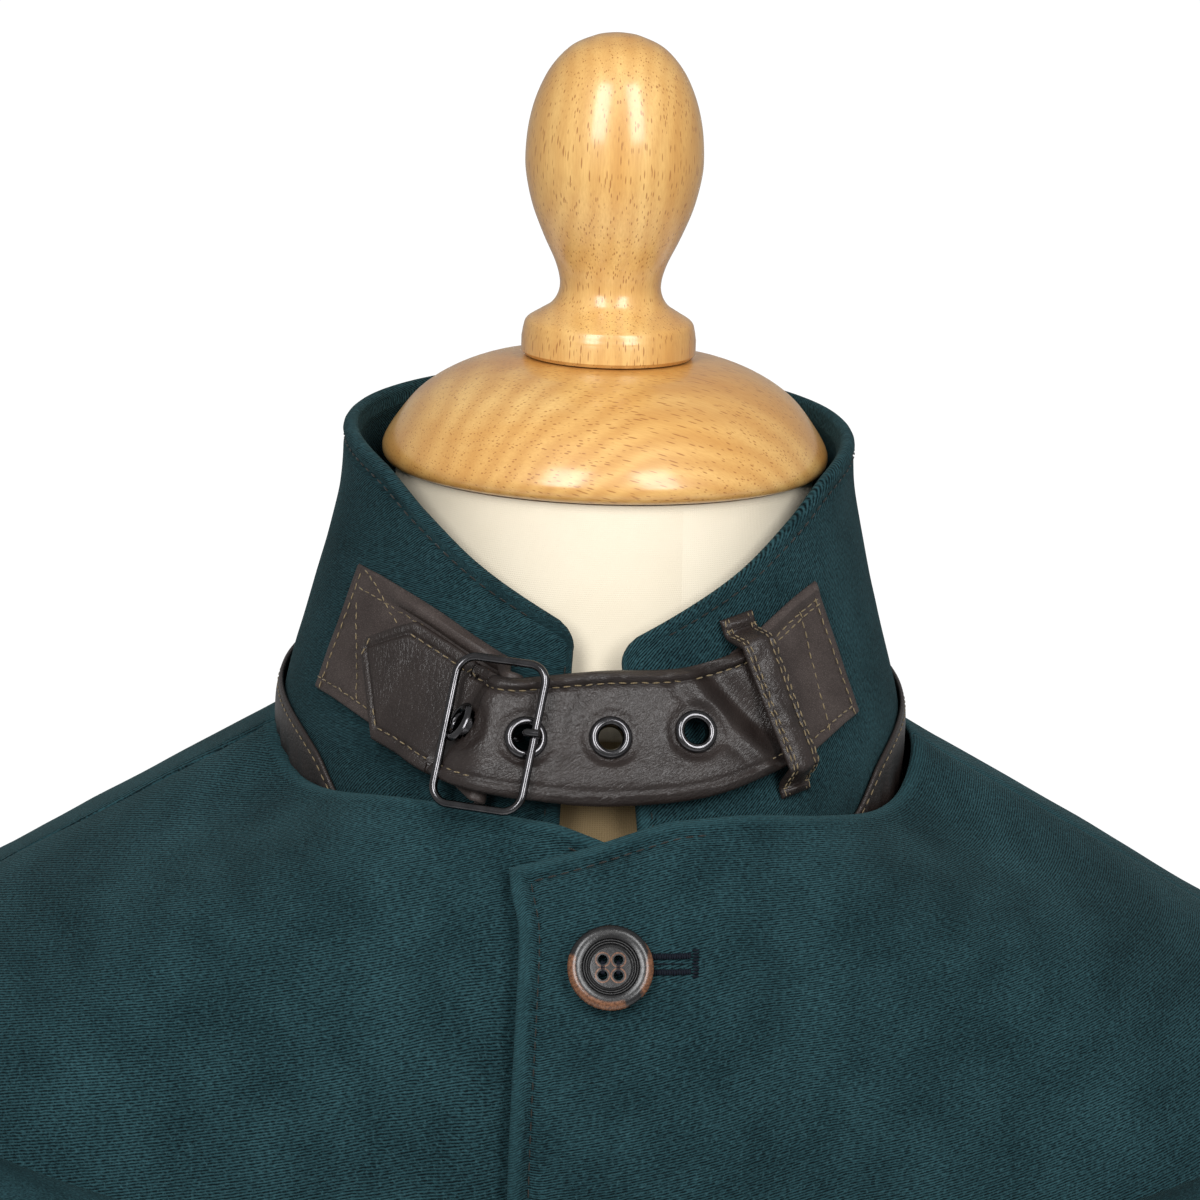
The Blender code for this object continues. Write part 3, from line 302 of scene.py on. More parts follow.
# ------------ the collar's surface
def around(turn, front, side, back):
    """A value that is front, side and back at turns of 0, 90 and 180."""
    angle = math.radians(turn)
    end = front if math.cos(angle) > 0 else back
    return mix(end, side, math.sin(angle) ** 2)


def fold_turn(turn):
    """The same distance from centre front on either side."""
    return abs((turn + 180) % 360 - 180)


def collar_rim_z(turn):
    return through(COLLAR_RIM, "turn", "z", fold_turn(turn))


def collar_base_z(turn):
    return around(turn, COLLAR_BASE_FRONT_Z, COLLAR_BASE_SIDE_Z, COLLAR_BASE_BACK_Z)


def collar_point(turn, z):
    """The collar's outer surface at a turn from centre front and a height."""
    angle = math.radians(turn)
    below = around(turn, COLLAR_KNEE_FRONT_Z, COLLAR_KNEE_SIDE_Z, COLLAR_KNEE_BACK_Z) - z
    flare = {name: through(COLLAR_FLARE, "below", name, below) for name in ("side", "front", "back")}
    end = COLLAR_FRONT + flare["front"] if math.cos(angle) > 0 else COLLAR_BACK + flare["back"]
    x = (COLLAR_SIDE + flare["side"]) * math.sin(angle) - COLLAR_SHIFT * math.sin(angle) ** 2
    return Vector((x, -end * math.cos(angle), z))


def collar_normal(turn, z):
    angle = math.radians(turn)
    outward = Vector((math.sin(angle), -math.cos(angle), 0.0))
    return normal_of(collar_point, turn, z, 0.6, 0.001, outward)


def collar_at(turn, z, out):
    """A point out metres off the collar's outer surface."""
    return collar_point(turn, z) + collar_normal(turn, z) * out


# ------------ the sleeve's surface
def armhole_point(around_arm):
    """The armhole's edge on the body.  around_arm: 0 at the shoulder tip, 90 in front, 180 under
    the arm."""
    angle = math.radians(around_arm)
    share = (1 - math.cos(angle)) / 2
    down = mix(SHOULDER_TIP_DOWN, UNDERARM_DOWN, share)
    cut = ARMHOLE_CUT_FRONT if math.sin(angle) > 0 else -ARMHOLE_CUT_BACK
    turn = 90.0 - cut * abs(math.sin(angle))
    return body_point(turn, down) + Vector((SEAM_GAP + 0.0001, 0, 0))


def sleeve_point(around_arm, along):
    """The sleeve's outer surface, from the armhole (along 0) to the cuff (along 1), on the +X side."""
    section = {name: through(SLEEVE_SECTIONS, "along", name, along) for name in SLEEVE_SECTIONS[0]}
    angle, tilt = math.radians(around_arm), math.radians(section["tilt"])
    outward = Vector((math.cos(tilt), 0, math.sin(tilt)))
    middle = Vector((section["x"], section["y"], section["z"]))
    forward = Vector((0, -section["deep"] * math.sin(angle), 0))
    oval = middle + outward * section["across"] * math.cos(angle) + forward
    return armhole_point(around_arm).lerp(oval, smooth(along / SLEEVE_BLEND))


def overlap_at(down):
    """How far the upper front reaches past the middle."""
    return mix(OVERLAP_TOP, OVERLAP_LOW, smooth(down / 0.09))


def seam_offset(down):
    """The turn that leaves half a seam gap before the side of the body."""
    depth = -through(BODY_RINGS, "down", "front_y", down)
    square = through(BODY_RINGS, "down", "square", down)
    return math.degrees(math.asin((0.65 * SEAM_GAP / depth) ** (square / 2)))


# ------------ the throat strap's sizes
# Paths round the collar.  turn and z place a point on the collar, out lifts the leather's middle off it.
TAB_PATH = [
    {"turn": -64.2, "z": 1.4604, "out": 0.0012}, {"turn": -55.0, "z": 1.4588, "out": 0.0012},
    {"turn": -43.0, "z": 1.4546, "out": 0.0012}, {"turn": -33.0, "z": 1.4492, "out": 0.0013},
    {"turn": -28.8, "z": 1.4468, "out": 0.0014}, {"turn": -25.4, "z": 1.4450, "out": 0.0030},
]
TAB_HALF = 0.0175
STRAP_PATH = [
    {"turn": -53.5, "z": 1.4544, "out": 0.0034, "half": 0.0164},
    {"turn": -45.0, "z": 1.4514, "out": 0.0034, "half": 0.0164},
    {"turn": -36.0, "z": 1.4474, "out": 0.0036, "half": 0.0160},
    {"turn": -30.5, "z": 1.4440, "out": 0.0044, "half": 0.0158},
    {"turn": -28.0, "z": 1.4430, "out": 0.0048, "half": 0.0157},
    {"turn": -26.6, "z": 1.4421, "out": 0.0068, "half": 0.0156},
    {"turn": -25.4, "z": 1.4414, "out": 0.0094, "half": 0.0155},
    {"turn": -23.8, "z": 1.4405, "out": 0.0112, "half": 0.0153},
    {"turn": -20.6, "z": 1.4396, "out": 0.0120, "half": 0.0153},
    {"turn": -16.2, "z": 1.4394, "out": 0.0104, "half": 0.0158},
    {"turn": -12.0, "z": 1.4400, "out": 0.0084, "half": 0.0165},
    {"turn": -6.0, "z": 1.4406, "out": 0.0068, "half": 0.0174},
    {"turn": 0.0, "z": 1.4412, "out": 0.0060, "half": 0.0178},
    {"turn": 14.0, "z": 1.4424, "out": 0.0060, "half": 0.0172},
    {"turn": 25.0, "z": 1.4460, "out": 0.0054, "half": 0.0164},
    {"turn": 36.0, "z": 1.4508, "out": 0.0038, "half": 0.0160},
]
STRAP_POINT = 0.0130
STRAP_TIP_HALF = 0.0015
STRAP_TIP_RISE = 0.0042
PATCH_PATH = [
    {"turn": 31.0, "z": 1.4478, "out": 0.0012}, {"turn": 38.0, "z": 1.4522, "out": 0.0012},
    {"turn": 45.0, "z": 1.4560, "out": 0.0012}, {"turn": 51.8, "z": 1.4586, "out": 0.0012},
]
PATCH_HALF = 0.0172
BAR_TURN = -20.9
BAR_OUT = 0.0070
BUCKLE_WIRE = 0.0011
# The buckle frame's two sides: how far each lies from the centre bar, along the strap and outwards.
BUCKLE_LEFT, BUCKLE_RIGHT = 0.0124, 0.0126
BUCKLE_LEFT_OUT, BUCKLE_RIGHT_OUT = 0.0032, 0.0068
BUCKLE_LEAN = -3.0
BUCKLE_HALF = 0.0195
BUCKLE_CORNER = 0.0050
PRONG_WIRE = 0.0010
# The prong after its eye: along the strap and outwards from the centre bar.
PRONG_PATH = [
    (0.0040, 0.0008, 0.0006), (0.0066, 0.0004, 0.0013), (0.0081, 0.0013, 0.0018), (0.0092, 0.0042, 0.0021),
    (0.0100, 0.0070, 0.0023), (0.0110, 0.0088, 0.0025), (0.0142, 0.0092, 0.0030),
]
EYELET_TURNS = {"eyelet_1": -25.5, "eyelet_2": -15.0, "eyelet_3": -0.4, "eyelet_4": 15.0}
EYELET_CUT = 0.0041
EYELET_1_LIFT = 0.0009
KEEPER_TOP = {"turn": 27.4, "z": 1.4680}
KEEPER_LOW = {"turn": 35.6, "z": 1.4285}
KEEPER_HALF = 0.0050
KEEPER_OUT, KEEPER_FOOT_OUT = 0.0086, 0.0012


def along_collar(rows, turn):
    """The leather's middle, its outward direction and its upward direction at a turn on a path."""
    here = collar_place(rows, turn)
    ahead = (collar_place(rows, turn + 0.4) - collar_place(rows, turn - 0.4)).normalized()
    outward = collar_normal(turn, through(rows, "turn", "z", turn))
    upward = outward.cross(ahead).normalized()
    upward = upward if upward.z > 0 else -upward
    normal = ahead.cross(upward).normalized()
    return here, normal if normal.dot(outward) > 0 else -normal, upward


def collar_place(rows, turn):
    first, last = rows[0]["turn"], rows[-1]["turn"]
    held = min(max(turn, first), last)
    here = collar_at(held, through(rows, "turn", "z", held), through(rows, "turn", "out", held))
    if held == turn:
        return here
    inner = held + (0.5 if turn < first else -0.5)
    near = collar_at(inner, through(rows, "turn", "z", inner), through(rows, "turn", "out", inner))
    return here + (here - near) * (abs(turn - held) / 0.5)


def path_stations(rows, count):
    first, last = rows[0]["turn"], rows[-1]["turn"]
    return [along_collar(rows, mix(first, last, i / count)) for i in range(count + 1)]


def bar_frame():
    """The centre bar's middle with the along, outward and upward directions there."""
    z = through(STRAP_PATH, "turn", "z", BAR_TURN)
    middle = collar_at(BAR_TURN, z, BAR_OUT)
    _, outward, upward = along_collar(STRAP_PATH, BAR_TURN)
    outward = collar_normal(BAR_TURN, z)
    along = upward.cross(outward).normalized()
    along = along if along.x > 0 else -along
    upward = outward.cross(along).normalized()
    upward = upward if upward.z > 0 else -upward
    lean = Matrix.Rotation(math.radians(-BUCKLE_LEAN), 3, upward.cross(along))
    if (lean @ upward).x < upward.x:
        lean.transpose()
    return middle, lean @ along, outward, lean @ upward


# ------------ shader helpers
def feed(tree, socket, value):
    """Give a socket another node's output, or a value of its own."""
    if isinstance(value, bpy.types.NodeSocket):
        tree.links.new(value, socket)
    else:
        socket.default_value = value


def node(tree, kind, links=None, **settings):
    """A shader node.  links: socket name to a value or to another node's output."""
    made = tree.nodes.new(kind)
    for name, value in settings.items():
        setattr(made, name, value)
    for name, value in (links or {}).items():
        feed(tree, made.inputs[name], value)
    return made


def maths(tree, operation, first, second=0.5, third=None):
    made = node(tree, "ShaderNodeMath", operation=operation)
    for socket, value in zip(made.inputs, (first, second, third)):
        if value is not None:
            feed(tree, socket, value)
    return made.outputs[0]


def blend_colours(tree, share, first, second):
    made = node(tree, "ShaderNodeMix", data_type="RGBA")
    for socket, value in zip((made.inputs[0], made.inputs[6], made.inputs[7]), (share, first, second)):
        feed(tree, socket, value)
    return made.outputs[2]


def spread(tree, value, low, high):
    """0 below low, 1 above high."""
    made = node(tree, "ShaderNodeMapRange", {"Value": value, "From Min": low, "From Max": high})
    return made.outputs[0]


def new_group(name, inputs, outputs):
    tree = bpy.data.node_groups.new(name, "ShaderNodeTree")
    for label, kind, value in inputs:
        socket = tree.interface.new_socket(name=label, in_out="INPUT", socket_type=kind)
        if value is not None:
            socket.default_value = value
    for label, kind in outputs:
        tree.interface.new_socket(name=label, in_out="OUTPUT", socket_type=kind)
    return tree, tree.nodes.new("NodeGroupInput").outputs, tree.nodes.new("NodeGroupOutput").inputs


def use_group(tree, group, links):
    made = tree.nodes.new("ShaderNodeGroup")
    made.node_tree = group
    for name, value in links.items():
        feed(tree, made.inputs[name], value)
    return made.outputs


def mottle_group():
    """Soft clouds of light and dark, and fine specks, for nap, hide and cloth."""
    tree, given, result = new_group(
        "mottle",
        [("Vector", "NodeSocketVector", None), ("Cloud Scale", "NodeSocketFloat", 20.0),
         ("Speck Scale", "NodeSocketFloat", 1500.0)],
        [("Cloud", "NodeSocketFloat"), ("Speck", "NodeSocketFloat")],
    )
    cloud = node(tree, "ShaderNodeTexNoise", {
        "Vector": given["Vector"], "Scale": given["Cloud Scale"], "Detail": 4.0, "Roughness": 0.55})
    speck = node(tree, "ShaderNodeTexNoise", {
        "Vector": given["Vector"], "Scale": given["Speck Scale"], "Detail": 2.0, "Roughness": 0.6})
    tree.links.new(spread(tree, cloud.outputs["Fac"], 0.32, 0.68), result["Cloud"])
    tree.links.new(spread(tree, speck.outputs["Fac"], 0.25, 0.75), result["Speck"])
    return tree


def rib_group():
    """Parallel ribs of one pitch, in metres, turned by Slant and a little unsteady."""
    tree, given, result = new_group(
        "ribs",
        [("Vector", "NodeSocketVector", None), ("Pitch", "NodeSocketFloat", 0.0006),
         ("Slant", "NodeSocketFloat", 0.0), ("Unsteady", "NodeSocketFloat", 1.0)],
        [("Rib", "NodeSocketFloat")],
    )
    turned_to = node(tree, "ShaderNodeVectorRotate", {"Vector": given["Vector"], "Angle": given["Slant"]},
                     rotation_type="Z_AXIS")
    scale = maths(tree, "DIVIDE", 0.31416, given["Pitch"])
    wave = node(tree, "ShaderNodeTexWave", {
        "Vector": turned_to.outputs[0], "Scale": scale, "Distortion": given["Unsteady"],
        "Detail": 2.0, "Detail Scale": 0.6}, bands_direction="Y")
    tree.links.new(wave.outputs["Fac"], result["Rib"])
    return tree


def pebble_group():
    """The small pebbles of a hide, with longer creases where Crease is near 1."""
    tree, given, result = new_group(
        "hide_pebbles",
        [("Vector", "NodeSocketVector", None), ("Pebble Scale", "NodeSocketFloat", 1300.0),
         ("Crease", "NodeSocketFloat", 0.3)],
        [("Height", "NodeSocketFloat"), ("Hollow", "NodeSocketFloat")],
    )
    warp = node(tree, "ShaderNodeTexNoise", {"Vector": given["Vector"], "Scale": 260.0, "Detail": 2.0})
    pulled = node(tree, "ShaderNodeVectorMath", {0: warp.outputs["Color"], 1: (0.0016, 0.0016, 0.0016)},
                  operation="MULTIPLY")
    moved = node(tree, "ShaderNodeVectorMath", {0: given["Vector"], 1: pulled.outputs[0]}, operation="ADD")
    cells = node(tree, "ShaderNodeTexVoronoi", {"Vector": moved.outputs[0], "Scale": given["Pebble Scale"]},
                 feature="DISTANCE_TO_EDGE")
    pebble = spread(tree, cells.outputs["Distance"], 0.0, 0.35)
    long_cells = node(tree, "ShaderNodeTexVoronoi", {"Vector": moved.outputs[0], "Scale": 620.0},
                      feature="DISTANCE_TO_EDGE")
    line = spread(tree, long_cells.outputs["Distance"], 0.0, 0.22)
    lowered = maths(tree, "MULTIPLY", maths(tree, "SUBTRACT", 1.0, line), given["Crease"])
    height = maths(tree, "SUBTRACT", maths(tree, "MULTIPLY", pebble, 0.45), lowered)
    tree.links.new(height, result["Height"])
    tree.links.new(maths(tree, "SUBTRACT", 1.0, pebble), result["Hollow"])
    return tree


MOTTLE, RIBS, PEBBLES = mottle_group(), rib_group(), pebble_group()


def cloth_map(tree):
    return node(tree, "ShaderNodeUVMap", uv_map="cloth").outputs[0]


def object_place(tree):
    return node(tree, "ShaderNodeTexCoord").outputs["Object"]


def mottled(tree, place, clouds, specks):
    return use_group(tree, MOTTLE, {"Vector": place, "Cloud Scale": clouds, "Speck Scale": specks})


def ribbed(tree, place, pitch, slant, unsteady):
    links = {"Vector": place, "Pitch": pitch, "Slant": slant, "Unsteady": unsteady}
    return use_group(tree, RIBS, links)["Rib"]


def new_material(name, **fixed):
    """A material with its Principled shader.  fixed: values that are the same all over."""
    made = bpy.data.materials.new(name)
    made.use_nodes = True
    shader = made.node_tree.nodes["Principled BSDF"]
    for label, value in fixed.items():
        shader.inputs[label.replace("_", " ")].default_value = value
    return made, made.node_tree, shader


def bump(tree, shader, height, distance, strength=1.0):
    made = node(tree, "ShaderNodeBump", {"Height": height, "Distance": distance, "Strength": strength})
    tree.links.new(made.outputs["Normal"], shader.inputs["Normal"])
    return made.outputs["Normal"]


def roughness(tree, shader, value, low, high):
    """The shader's roughness, from low where value is 0 to high where it is 1."""
    rough = node(tree, "ShaderNodeMapRange", {"Value": value, "To Min": low, "To Max": high})
    tree.links.new(rough.outputs[0], shader.inputs["Roughness"])


# ------------ materials
def moleskin(name, slant):
    """Brushed cotton moleskin: soft clouds of nap over a fine broken rib, a little paler on turned
    edges, partly from worn nap and partly as a painted highlight where the rolled edges catch the light."""
    made, tree, shader = new_material(name, **{
        "Sheen_Weight": 0.06, "Sheen_Roughness": 0.45, "Sheen_Tint": (0.40, 0.66, 0.68, 1),
        "Specular_IOR_Level": 0.06})
    place = cloth_map(tree)
    nap = mottled(tree, place, 17.0, 1150.0)
    streak = mottled(tree, place, 70.0, 420.0)
    rib = ribbed(tree, place, 0.00066, slant, 1.5)
    along = node(tree, "ShaderNodeVectorRotate", {"Vector": place, "Angle": slant}, rotation_type="Z_AXIS")
    pulled = node(tree, "ShaderNodeMapping", {"Vector": along.outputs[0], "Scale": (0.32, 1.0, 1.0)})
    dash = mottled(tree, pulled.outputs[0], 2100.0, 2600.0)
    clouds = maths(tree, "ADD", maths(tree, "MULTIPLY", nap["Cloud"], 0.6),
                   maths(tree, "MULTIPLY", streak["Cloud"], 0.4))
    weave = maths(tree, "ADD", maths(tree, "MULTIPLY", rib, 0.50),
                  maths(tree, "MULTIPLY", dash["Cloud"], 0.50))
    valley = blend_colours(tree, clouds, (0.0008, 0.0028, 0.0038, 1), (0.0025, 0.0074, 0.0094, 1))
    crest = blend_colours(tree, clouds, (0.0094, 0.0315, 0.0380, 1), (0.0285, 0.0790, 0.0920, 1))
    woven = blend_colours(tree, spread(tree, weave, 0.24, 0.80), valley, crest)
    lint = maths(tree, "MULTIPLY", spread(tree, nap["Speck"], 0.55, 0.95), 0.40)
    specked = blend_colours(tree, lint, woven, (0.0420, 0.1020, 0.1160, 1))
    # Paler within a few millimetres of the first column and row: partly nap worn on the turned edges,
    # partly a painted highlight where the rolled edge catches the light.
    edges = node(tree, "ShaderNodeSeparateXYZ", {"Vector": place})
    by_side = spread(tree, edges.outputs["X"], 0.0016, 0.0044)
    by_top = spread(tree, maths(tree, "MULTIPLY", edges.outputs["Y"], -1.0), 0.0016, 0.0044)
    paler_share = maths(tree, "SUBTRACT", 1.0, maths(tree, "MINIMUM", by_side, by_top))
    edge_wear_and_highlight = blend_colours(tree, maths(tree, "MULTIPLY", paler_share, 0.28), specked, (0.0300, 0.0860, 0.1000, 1))
    tree.links.new(edge_wear_and_highlight, shader.inputs["Base Color"])
    roughness(tree, shader, nap["Speck"], 0.78, 0.95)
    bump(tree, shader, weave, 0.00034, 0.9)
    return made


def leather(name, crease, gloss, low, high):
    """Dark brown leather.  crease: how deep its longer creases are.  gloss: its roughness where rubbed.
    low, high: its darkest and lightest browns."""
    made, tree, shader = new_material(name, **{
        "Specular_IOR_Level": 0.24, "Coat_Weight": crease * 0.75, "Coat_Roughness": 0.24})
    place = cloth_map(tree)
    hide = use_group(tree, PEBBLES, {"Vector": place, "Pebble Scale": 2000.0, "Crease": crease})
    tone = mottled(tree, place, 70.0, 1200.0)
    brown = blend_colours(tree, tone["Cloud"], low, high)
    hollow = maths(tree, "MULTIPLY", hide["Hollow"], 0.6)
    deep = blend_colours(tree, hollow, brown, (0.0110, 0.0075, 0.0066, 1))
    tree.links.new(deep, shader.inputs["Base Color"])
    roughness(tree, shader, tone["Cloud"], gloss, gloss + 0.14)
    grain = bump(tree, shader, hide["Height"], 0.00004 + 0.00010 * crease, 0.85)
    tree.links.new(grain, shader.inputs["Coat Normal"])
    return made


def thread(name, light, dark, fuzz=0.2):
    """Sewing thread with the slant of its ply.  fuzz: its sheen."""
    made, tree, shader = new_material(name, **{"Specular_IOR_Level": 0.15, "Sheen_Weight": fuzz})
    place = object_place(tree)
    ply = ribbed(tree, place, 0.00035, 0.9, 0.5)
    tone = blend_colours(tree, ply, dark, light)
    tree.links.new(tone, shader.inputs["Base Color"])
    roughness(tree, shader, ply, 0.65, 0.85)
    bump(tree, shader, ply, 0.00006, 0.6)
    return made


def dark_metal():
    """Polished gunmetal with fine rubbed streaks."""
    made, tree, shader = new_material("gunmetal", **{"Metallic": 1.0})
    place = object_place(tree)
    wear = mottled(tree, place, 260.0, 2600.0)
    tone = blend_colours(tree, wear["Cloud"], (0.075, 0.074, 0.078, 1), (0.125, 0.122, 0.127, 1))
    tree.links.new(tone, shader.inputs["Base Color"])
    roughness(tree, shader, wear["Speck"], 0.12, 0.24)
    bump(tree, shader, wear["Speck"], 0.00001, 0.3)
    return made


def horn():
    """Near-black button, rubbed to copper brown at parts of its rim and round its four holes."""
    made, tree, shader = new_material("burnished_horn", **{"Specular_IOR_Level": 0.5, "Coat_Weight": 0.35,
                                                          "Coat_Roughness": 0.25})
    place = cloth_map(tree)
    flat = node(tree, "ShaderNodeVectorMath", {0: place}, operation="LENGTH").outputs["Value"]
    wear = mottled(tree, place, 95.0, 1400.0)
    low_side = node(tree, "ShaderNodeVectorMath", {0: place, 1: (-0.62, -0.78, 0.0)},
                    operation="DOT_PRODUCT").outputs["Value"]
    right_side = node(tree, "ShaderNodeVectorMath", {0: place, 1: (0.98, -0.05, 0.0)},
                      operation="DOT_PRODUCT").outputs["Value"]
    uneven = maths(tree, "MULTIPLY", wear["Cloud"], 0.0035)
    low_arc = spread(tree, maths(tree, "ADD", low_side, uneven), 0.0062, 0.0070)
    right_arc = spread(tree, maths(tree, "ADD", right_side, uneven), 0.0098, 0.0106)
    outer = maths(tree, "MULTIPLY", spread(tree, flat, 0.0088, 0.0092),
                  maths(tree, "MAXIMUM", low_arc, right_arc))
    corner = node(tree, "ShaderNodeVectorMath", {0: place}, operation="ABSOLUTE").outputs[0]
    from_hole = node(tree, "ShaderNodeVectorMath", {
        0: corner, 1: (BUTTON_HOLE_SPREAD, BUTTON_HOLE_SPREAD, 0.0)}, operation="DISTANCE").outputs["Value"]
    ring = maths(tree, "MULTIPLY", spread(tree, from_hole, 0.00158, 0.00164),
                 maths(tree, "SUBTRACT", 1.0, spread(tree, from_hole, 0.00196, 0.00202)))
    paler_share = maths(tree, "MAXIMUM", outer, maths(tree, "MULTIPLY", ring, 0.95))
    black = blend_colours(tree, wear["Speck"], (0.0040, 0.0040, 0.0045, 1), (0.0090, 0.0085, 0.0090, 1))
    copper = blend_colours(tree, spread(tree, wear["Speck"], 0.2, 0.8), (0.0700, 0.0270, 0.0120, 1),
                           (0.1900, 0.0800, 0.0360, 1))
    tone = blend_colours(tree, paler_share, black, copper)
    tree.links.new(tone, shader.inputs["Base Color"])
    roughness(tree, shader, wear["Speck"], 0.24, 0.36)
    bump(tree, shader, wear["Speck"], 0.00004, 0.5)
    return made


def fleck_group():
    """The short dark dashes of beech, drawn out along the grain (Z) and evenly strewn."""
    tree, given, result = new_group(
        "beech_flecks",
        [("Vector", "NodeSocketVector", None), ("Fleck Scale", "NodeSocketFloat", 520.0),
         ("Length", "NodeSocketFloat", 0.17)],
        [("Fleck", "NodeSocketFloat")],
    )
    axes = node(tree, "ShaderNodeCombineXYZ", {"X": 1.0, "Y": 1.0, "Z": given["Length"]})
    drawn = node(tree, "ShaderNodeVectorMath", {0: given["Vector"], 1: axes.outputs[0]},
                 operation="MULTIPLY")
    cells = node(tree, "ShaderNodeTexVoronoi", {
        "Vector": drawn.outputs[0], "Scale": given["Fleck Scale"], "Randomness": 1.0})
    keep_some = node(tree, "ShaderNodeSeparateColor", {"Color": cells.outputs["Color"]})
    reach = maths(tree, "MULTIPLY_ADD", keep_some.outputs[0], 0.20, 0.10)
    past = maths(tree, "SUBTRACT", cells.outputs["Distance"], reach)
    dash = maths(tree, "SUBTRACT", 1.0, spread(tree, past, -0.03, 0.07))
    tree.links.new(dash, result["Fleck"])
    return tree


FLECKS = fleck_group()


def beech(name, grain_turn, ring_place, ring_share):
    """Turned beech under a glossy varnish.  grain_turn: how far the grain is turned from upright.
    ring_place: the middle of its growth rings.  ring_share: how dark they are."""
    made, tree, shader = new_material(name, **{
        "Coat_Weight": 0.8, "Coat_Roughness": 0.18, "Specular_IOR_Level": 0.4})
    place = object_place(tree)
    upright = node(tree, "ShaderNodeVectorRotate", {"Vector": place, "Angle": grain_turn},
                   rotation_type="Y_AXIS").outputs[0]
    flecks = use_group(tree, FLECKS, {"Vector": upright, "Fleck Scale": 1450.0, "Length": 0.125})
    drawn = node(tree, "ShaderNodeMapping", {"Vector": upright, "Scale": (1.0, 1.0, 0.10)}).outputs[0]
    fine = node(tree, "ShaderNodeTexNoise", {"Vector": drawn, "Scale": 2100.0, "Detail": 2.0})
    board = node(tree, "ShaderNodeTexNoise", {
        "Vector": drawn, "Scale": 30.0, "Detail": 3.0, "Distortion": 0.8})
    about = node(tree, "ShaderNodeVectorMath", {0: place, 1: ring_place}, operation="SUBTRACT").outputs[0]
    rings = node(tree, "ShaderNodeTexWave", {
        "Vector": about, "Scale": 62.0, "Distortion": 3.0, "Detail": 2.0, "Detail Scale": 0.8},
        wave_type="RINGS", rings_direction="Y")
    honey = blend_colours(tree, spread(tree, board.outputs["Fac"], 0.3, 0.7),
                          (0.590, 0.290, 0.066, 1), (0.760, 0.490, 0.175, 1))
    ringed = blend_colours(tree, maths(tree, "MULTIPLY", rings.outputs["Fac"], ring_share), honey,
                           (0.500, 0.225, 0.050, 1))
    pores = maths(tree, "MULTIPLY", spread(tree, fine.outputs["Fac"], 0.35, 0.75), 0.30)
    lined = blend_colours(tree, pores, ringed, (0.430, 0.180, 0.040, 1))
    flecked = maths(tree, "MULTIPLY", flecks["Fleck"], 0.72)
    tone = blend_colours(tree, flecked, lined, (0.290, 0.100, 0.017, 1))
    tree.links.new(tone, shader.inputs["Base Color"])
    roughness(tree, shader, fine.outputs["Fac"], 0.30, 0.48)
    bump(tree, shader, maths(tree, "SUBTRACT", 1.0, flecks["Fleck"]), 0.00003, 0.35)
    return made


# Where the neck's cream calico ends and a darker tan below it begins: partly a browner torso cloth, partly
# painted shade for the gap under the strap.
TAN_AND_SHADE_TOP = 1.4385


def calico():
    """Unbleached calico on the form's neck, and below it a darker tan that is partly a browner cloth and
    partly painted shade under the strap, both plain-woven and glued down.
    """
    made, tree, shader = new_material("calico", **{"Specular_IOR_Level": 0.2, "Sheen_Weight": 0.1})
    place = cloth_map(tree)
    warp = ribbed(tree, place, 0.00055, 0.0, 0.9)
    weft = ribbed(tree, place, 0.00055, math.pi / 2, 0.9)
    weave = maths(tree, "MAXIMUM", warp, weft)
    tone = mottled(tree, place, 22.0, 800.0)
    cream = blend_colours(tree, tone["Cloud"], (0.720, 0.640, 0.500, 1), (0.780, 0.705, 0.565, 1))
    woven = blend_colours(tree, maths(tree, "MULTIPLY", weave, 0.22), (0.600, 0.560, 0.420, 1), cream)
    spun = blend_colours(tree, maths(tree, "ADD", maths(tree, "MULTIPLY", weave, 0.2), 0.8), woven, cream)
    spot = object_place(tree)
    height = node(tree, "ShaderNodeSeparateXYZ", {"Vector": spot}).outputs["Z"]
    # Painted shade: below that height the form is coloured a darker tan, partly a browner cloth and partly
    # the shade under the strap.
    below = maths(tree, "SUBTRACT", 1.0, spread(tree, height, TAN_AND_SHADE_TOP - 0.0006, TAN_AND_SHADE_TOP + 0.0006))
    tan_and_shade = blend_colours(tree, maths(tree, "MULTIPLY", weave, 0.6), (0.240, 0.165, 0.080, 1),
                          (0.370, 0.275, 0.145, 1))
    tree.links.new(blend_colours(tree, below, spun, tan_and_shade), shader.inputs["Base Color"])
    roughness(tree, shader, tone["Speck"], 0.8, 0.95)
    bump(tree, shader, weave, 0.00008, 0.5)
    return made


def pale_floor():
    made, tree, shader = new_material("pale_floor", **{"Roughness": 0.8})
    place = object_place(tree)
    tone = mottled(tree, place, 0.8, 40.0)
    white = blend_colours(tree, tone["Cloud"], (0.78, 0.78, 0.78, 1), (0.82, 0.82, 0.82, 1))
    tree.links.new(white, shader.inputs["Base Color"])
    return made


MOLESKIN, MOLESKIN_LEFT = moleskin("moleskin", 0.46), moleskin("moleskin_left", 0.03)
MOLESKIN_BIAS = moleskin("moleskin_on_the_bias", 0.75)
LEATHER = leather("dark_leather", 0.10, 0.40, (0.0470, 0.0360, 0.0330, 1), (0.0800, 0.0630, 0.0570, 1))
WRINKLED_LEATHER = leather("dark_leather_creased", 0.60, 0.46, (0.0140, 0.0092, 0.0078, 1),
                           (0.0260, 0.0180, 0.0155, 1))
LEATHER_THREAD = thread("khaki_thread", (0.230, 0.175, 0.095, 1), (0.090, 0.067, 0.036, 1))
CLOTH_THREAD = thread("brown_thread", (0.0220, 0.0190, 0.0150, 1), (0.0080, 0.0070, 0.0060, 1))
HOLE_THREAD = thread("navy_thread", (0.0045, 0.0075, 0.0150, 1), (0.0012, 0.0020, 0.0040, 1), 0.0)
GUNMETAL, HORN, CALICO = dark_metal(), horn(), calico()
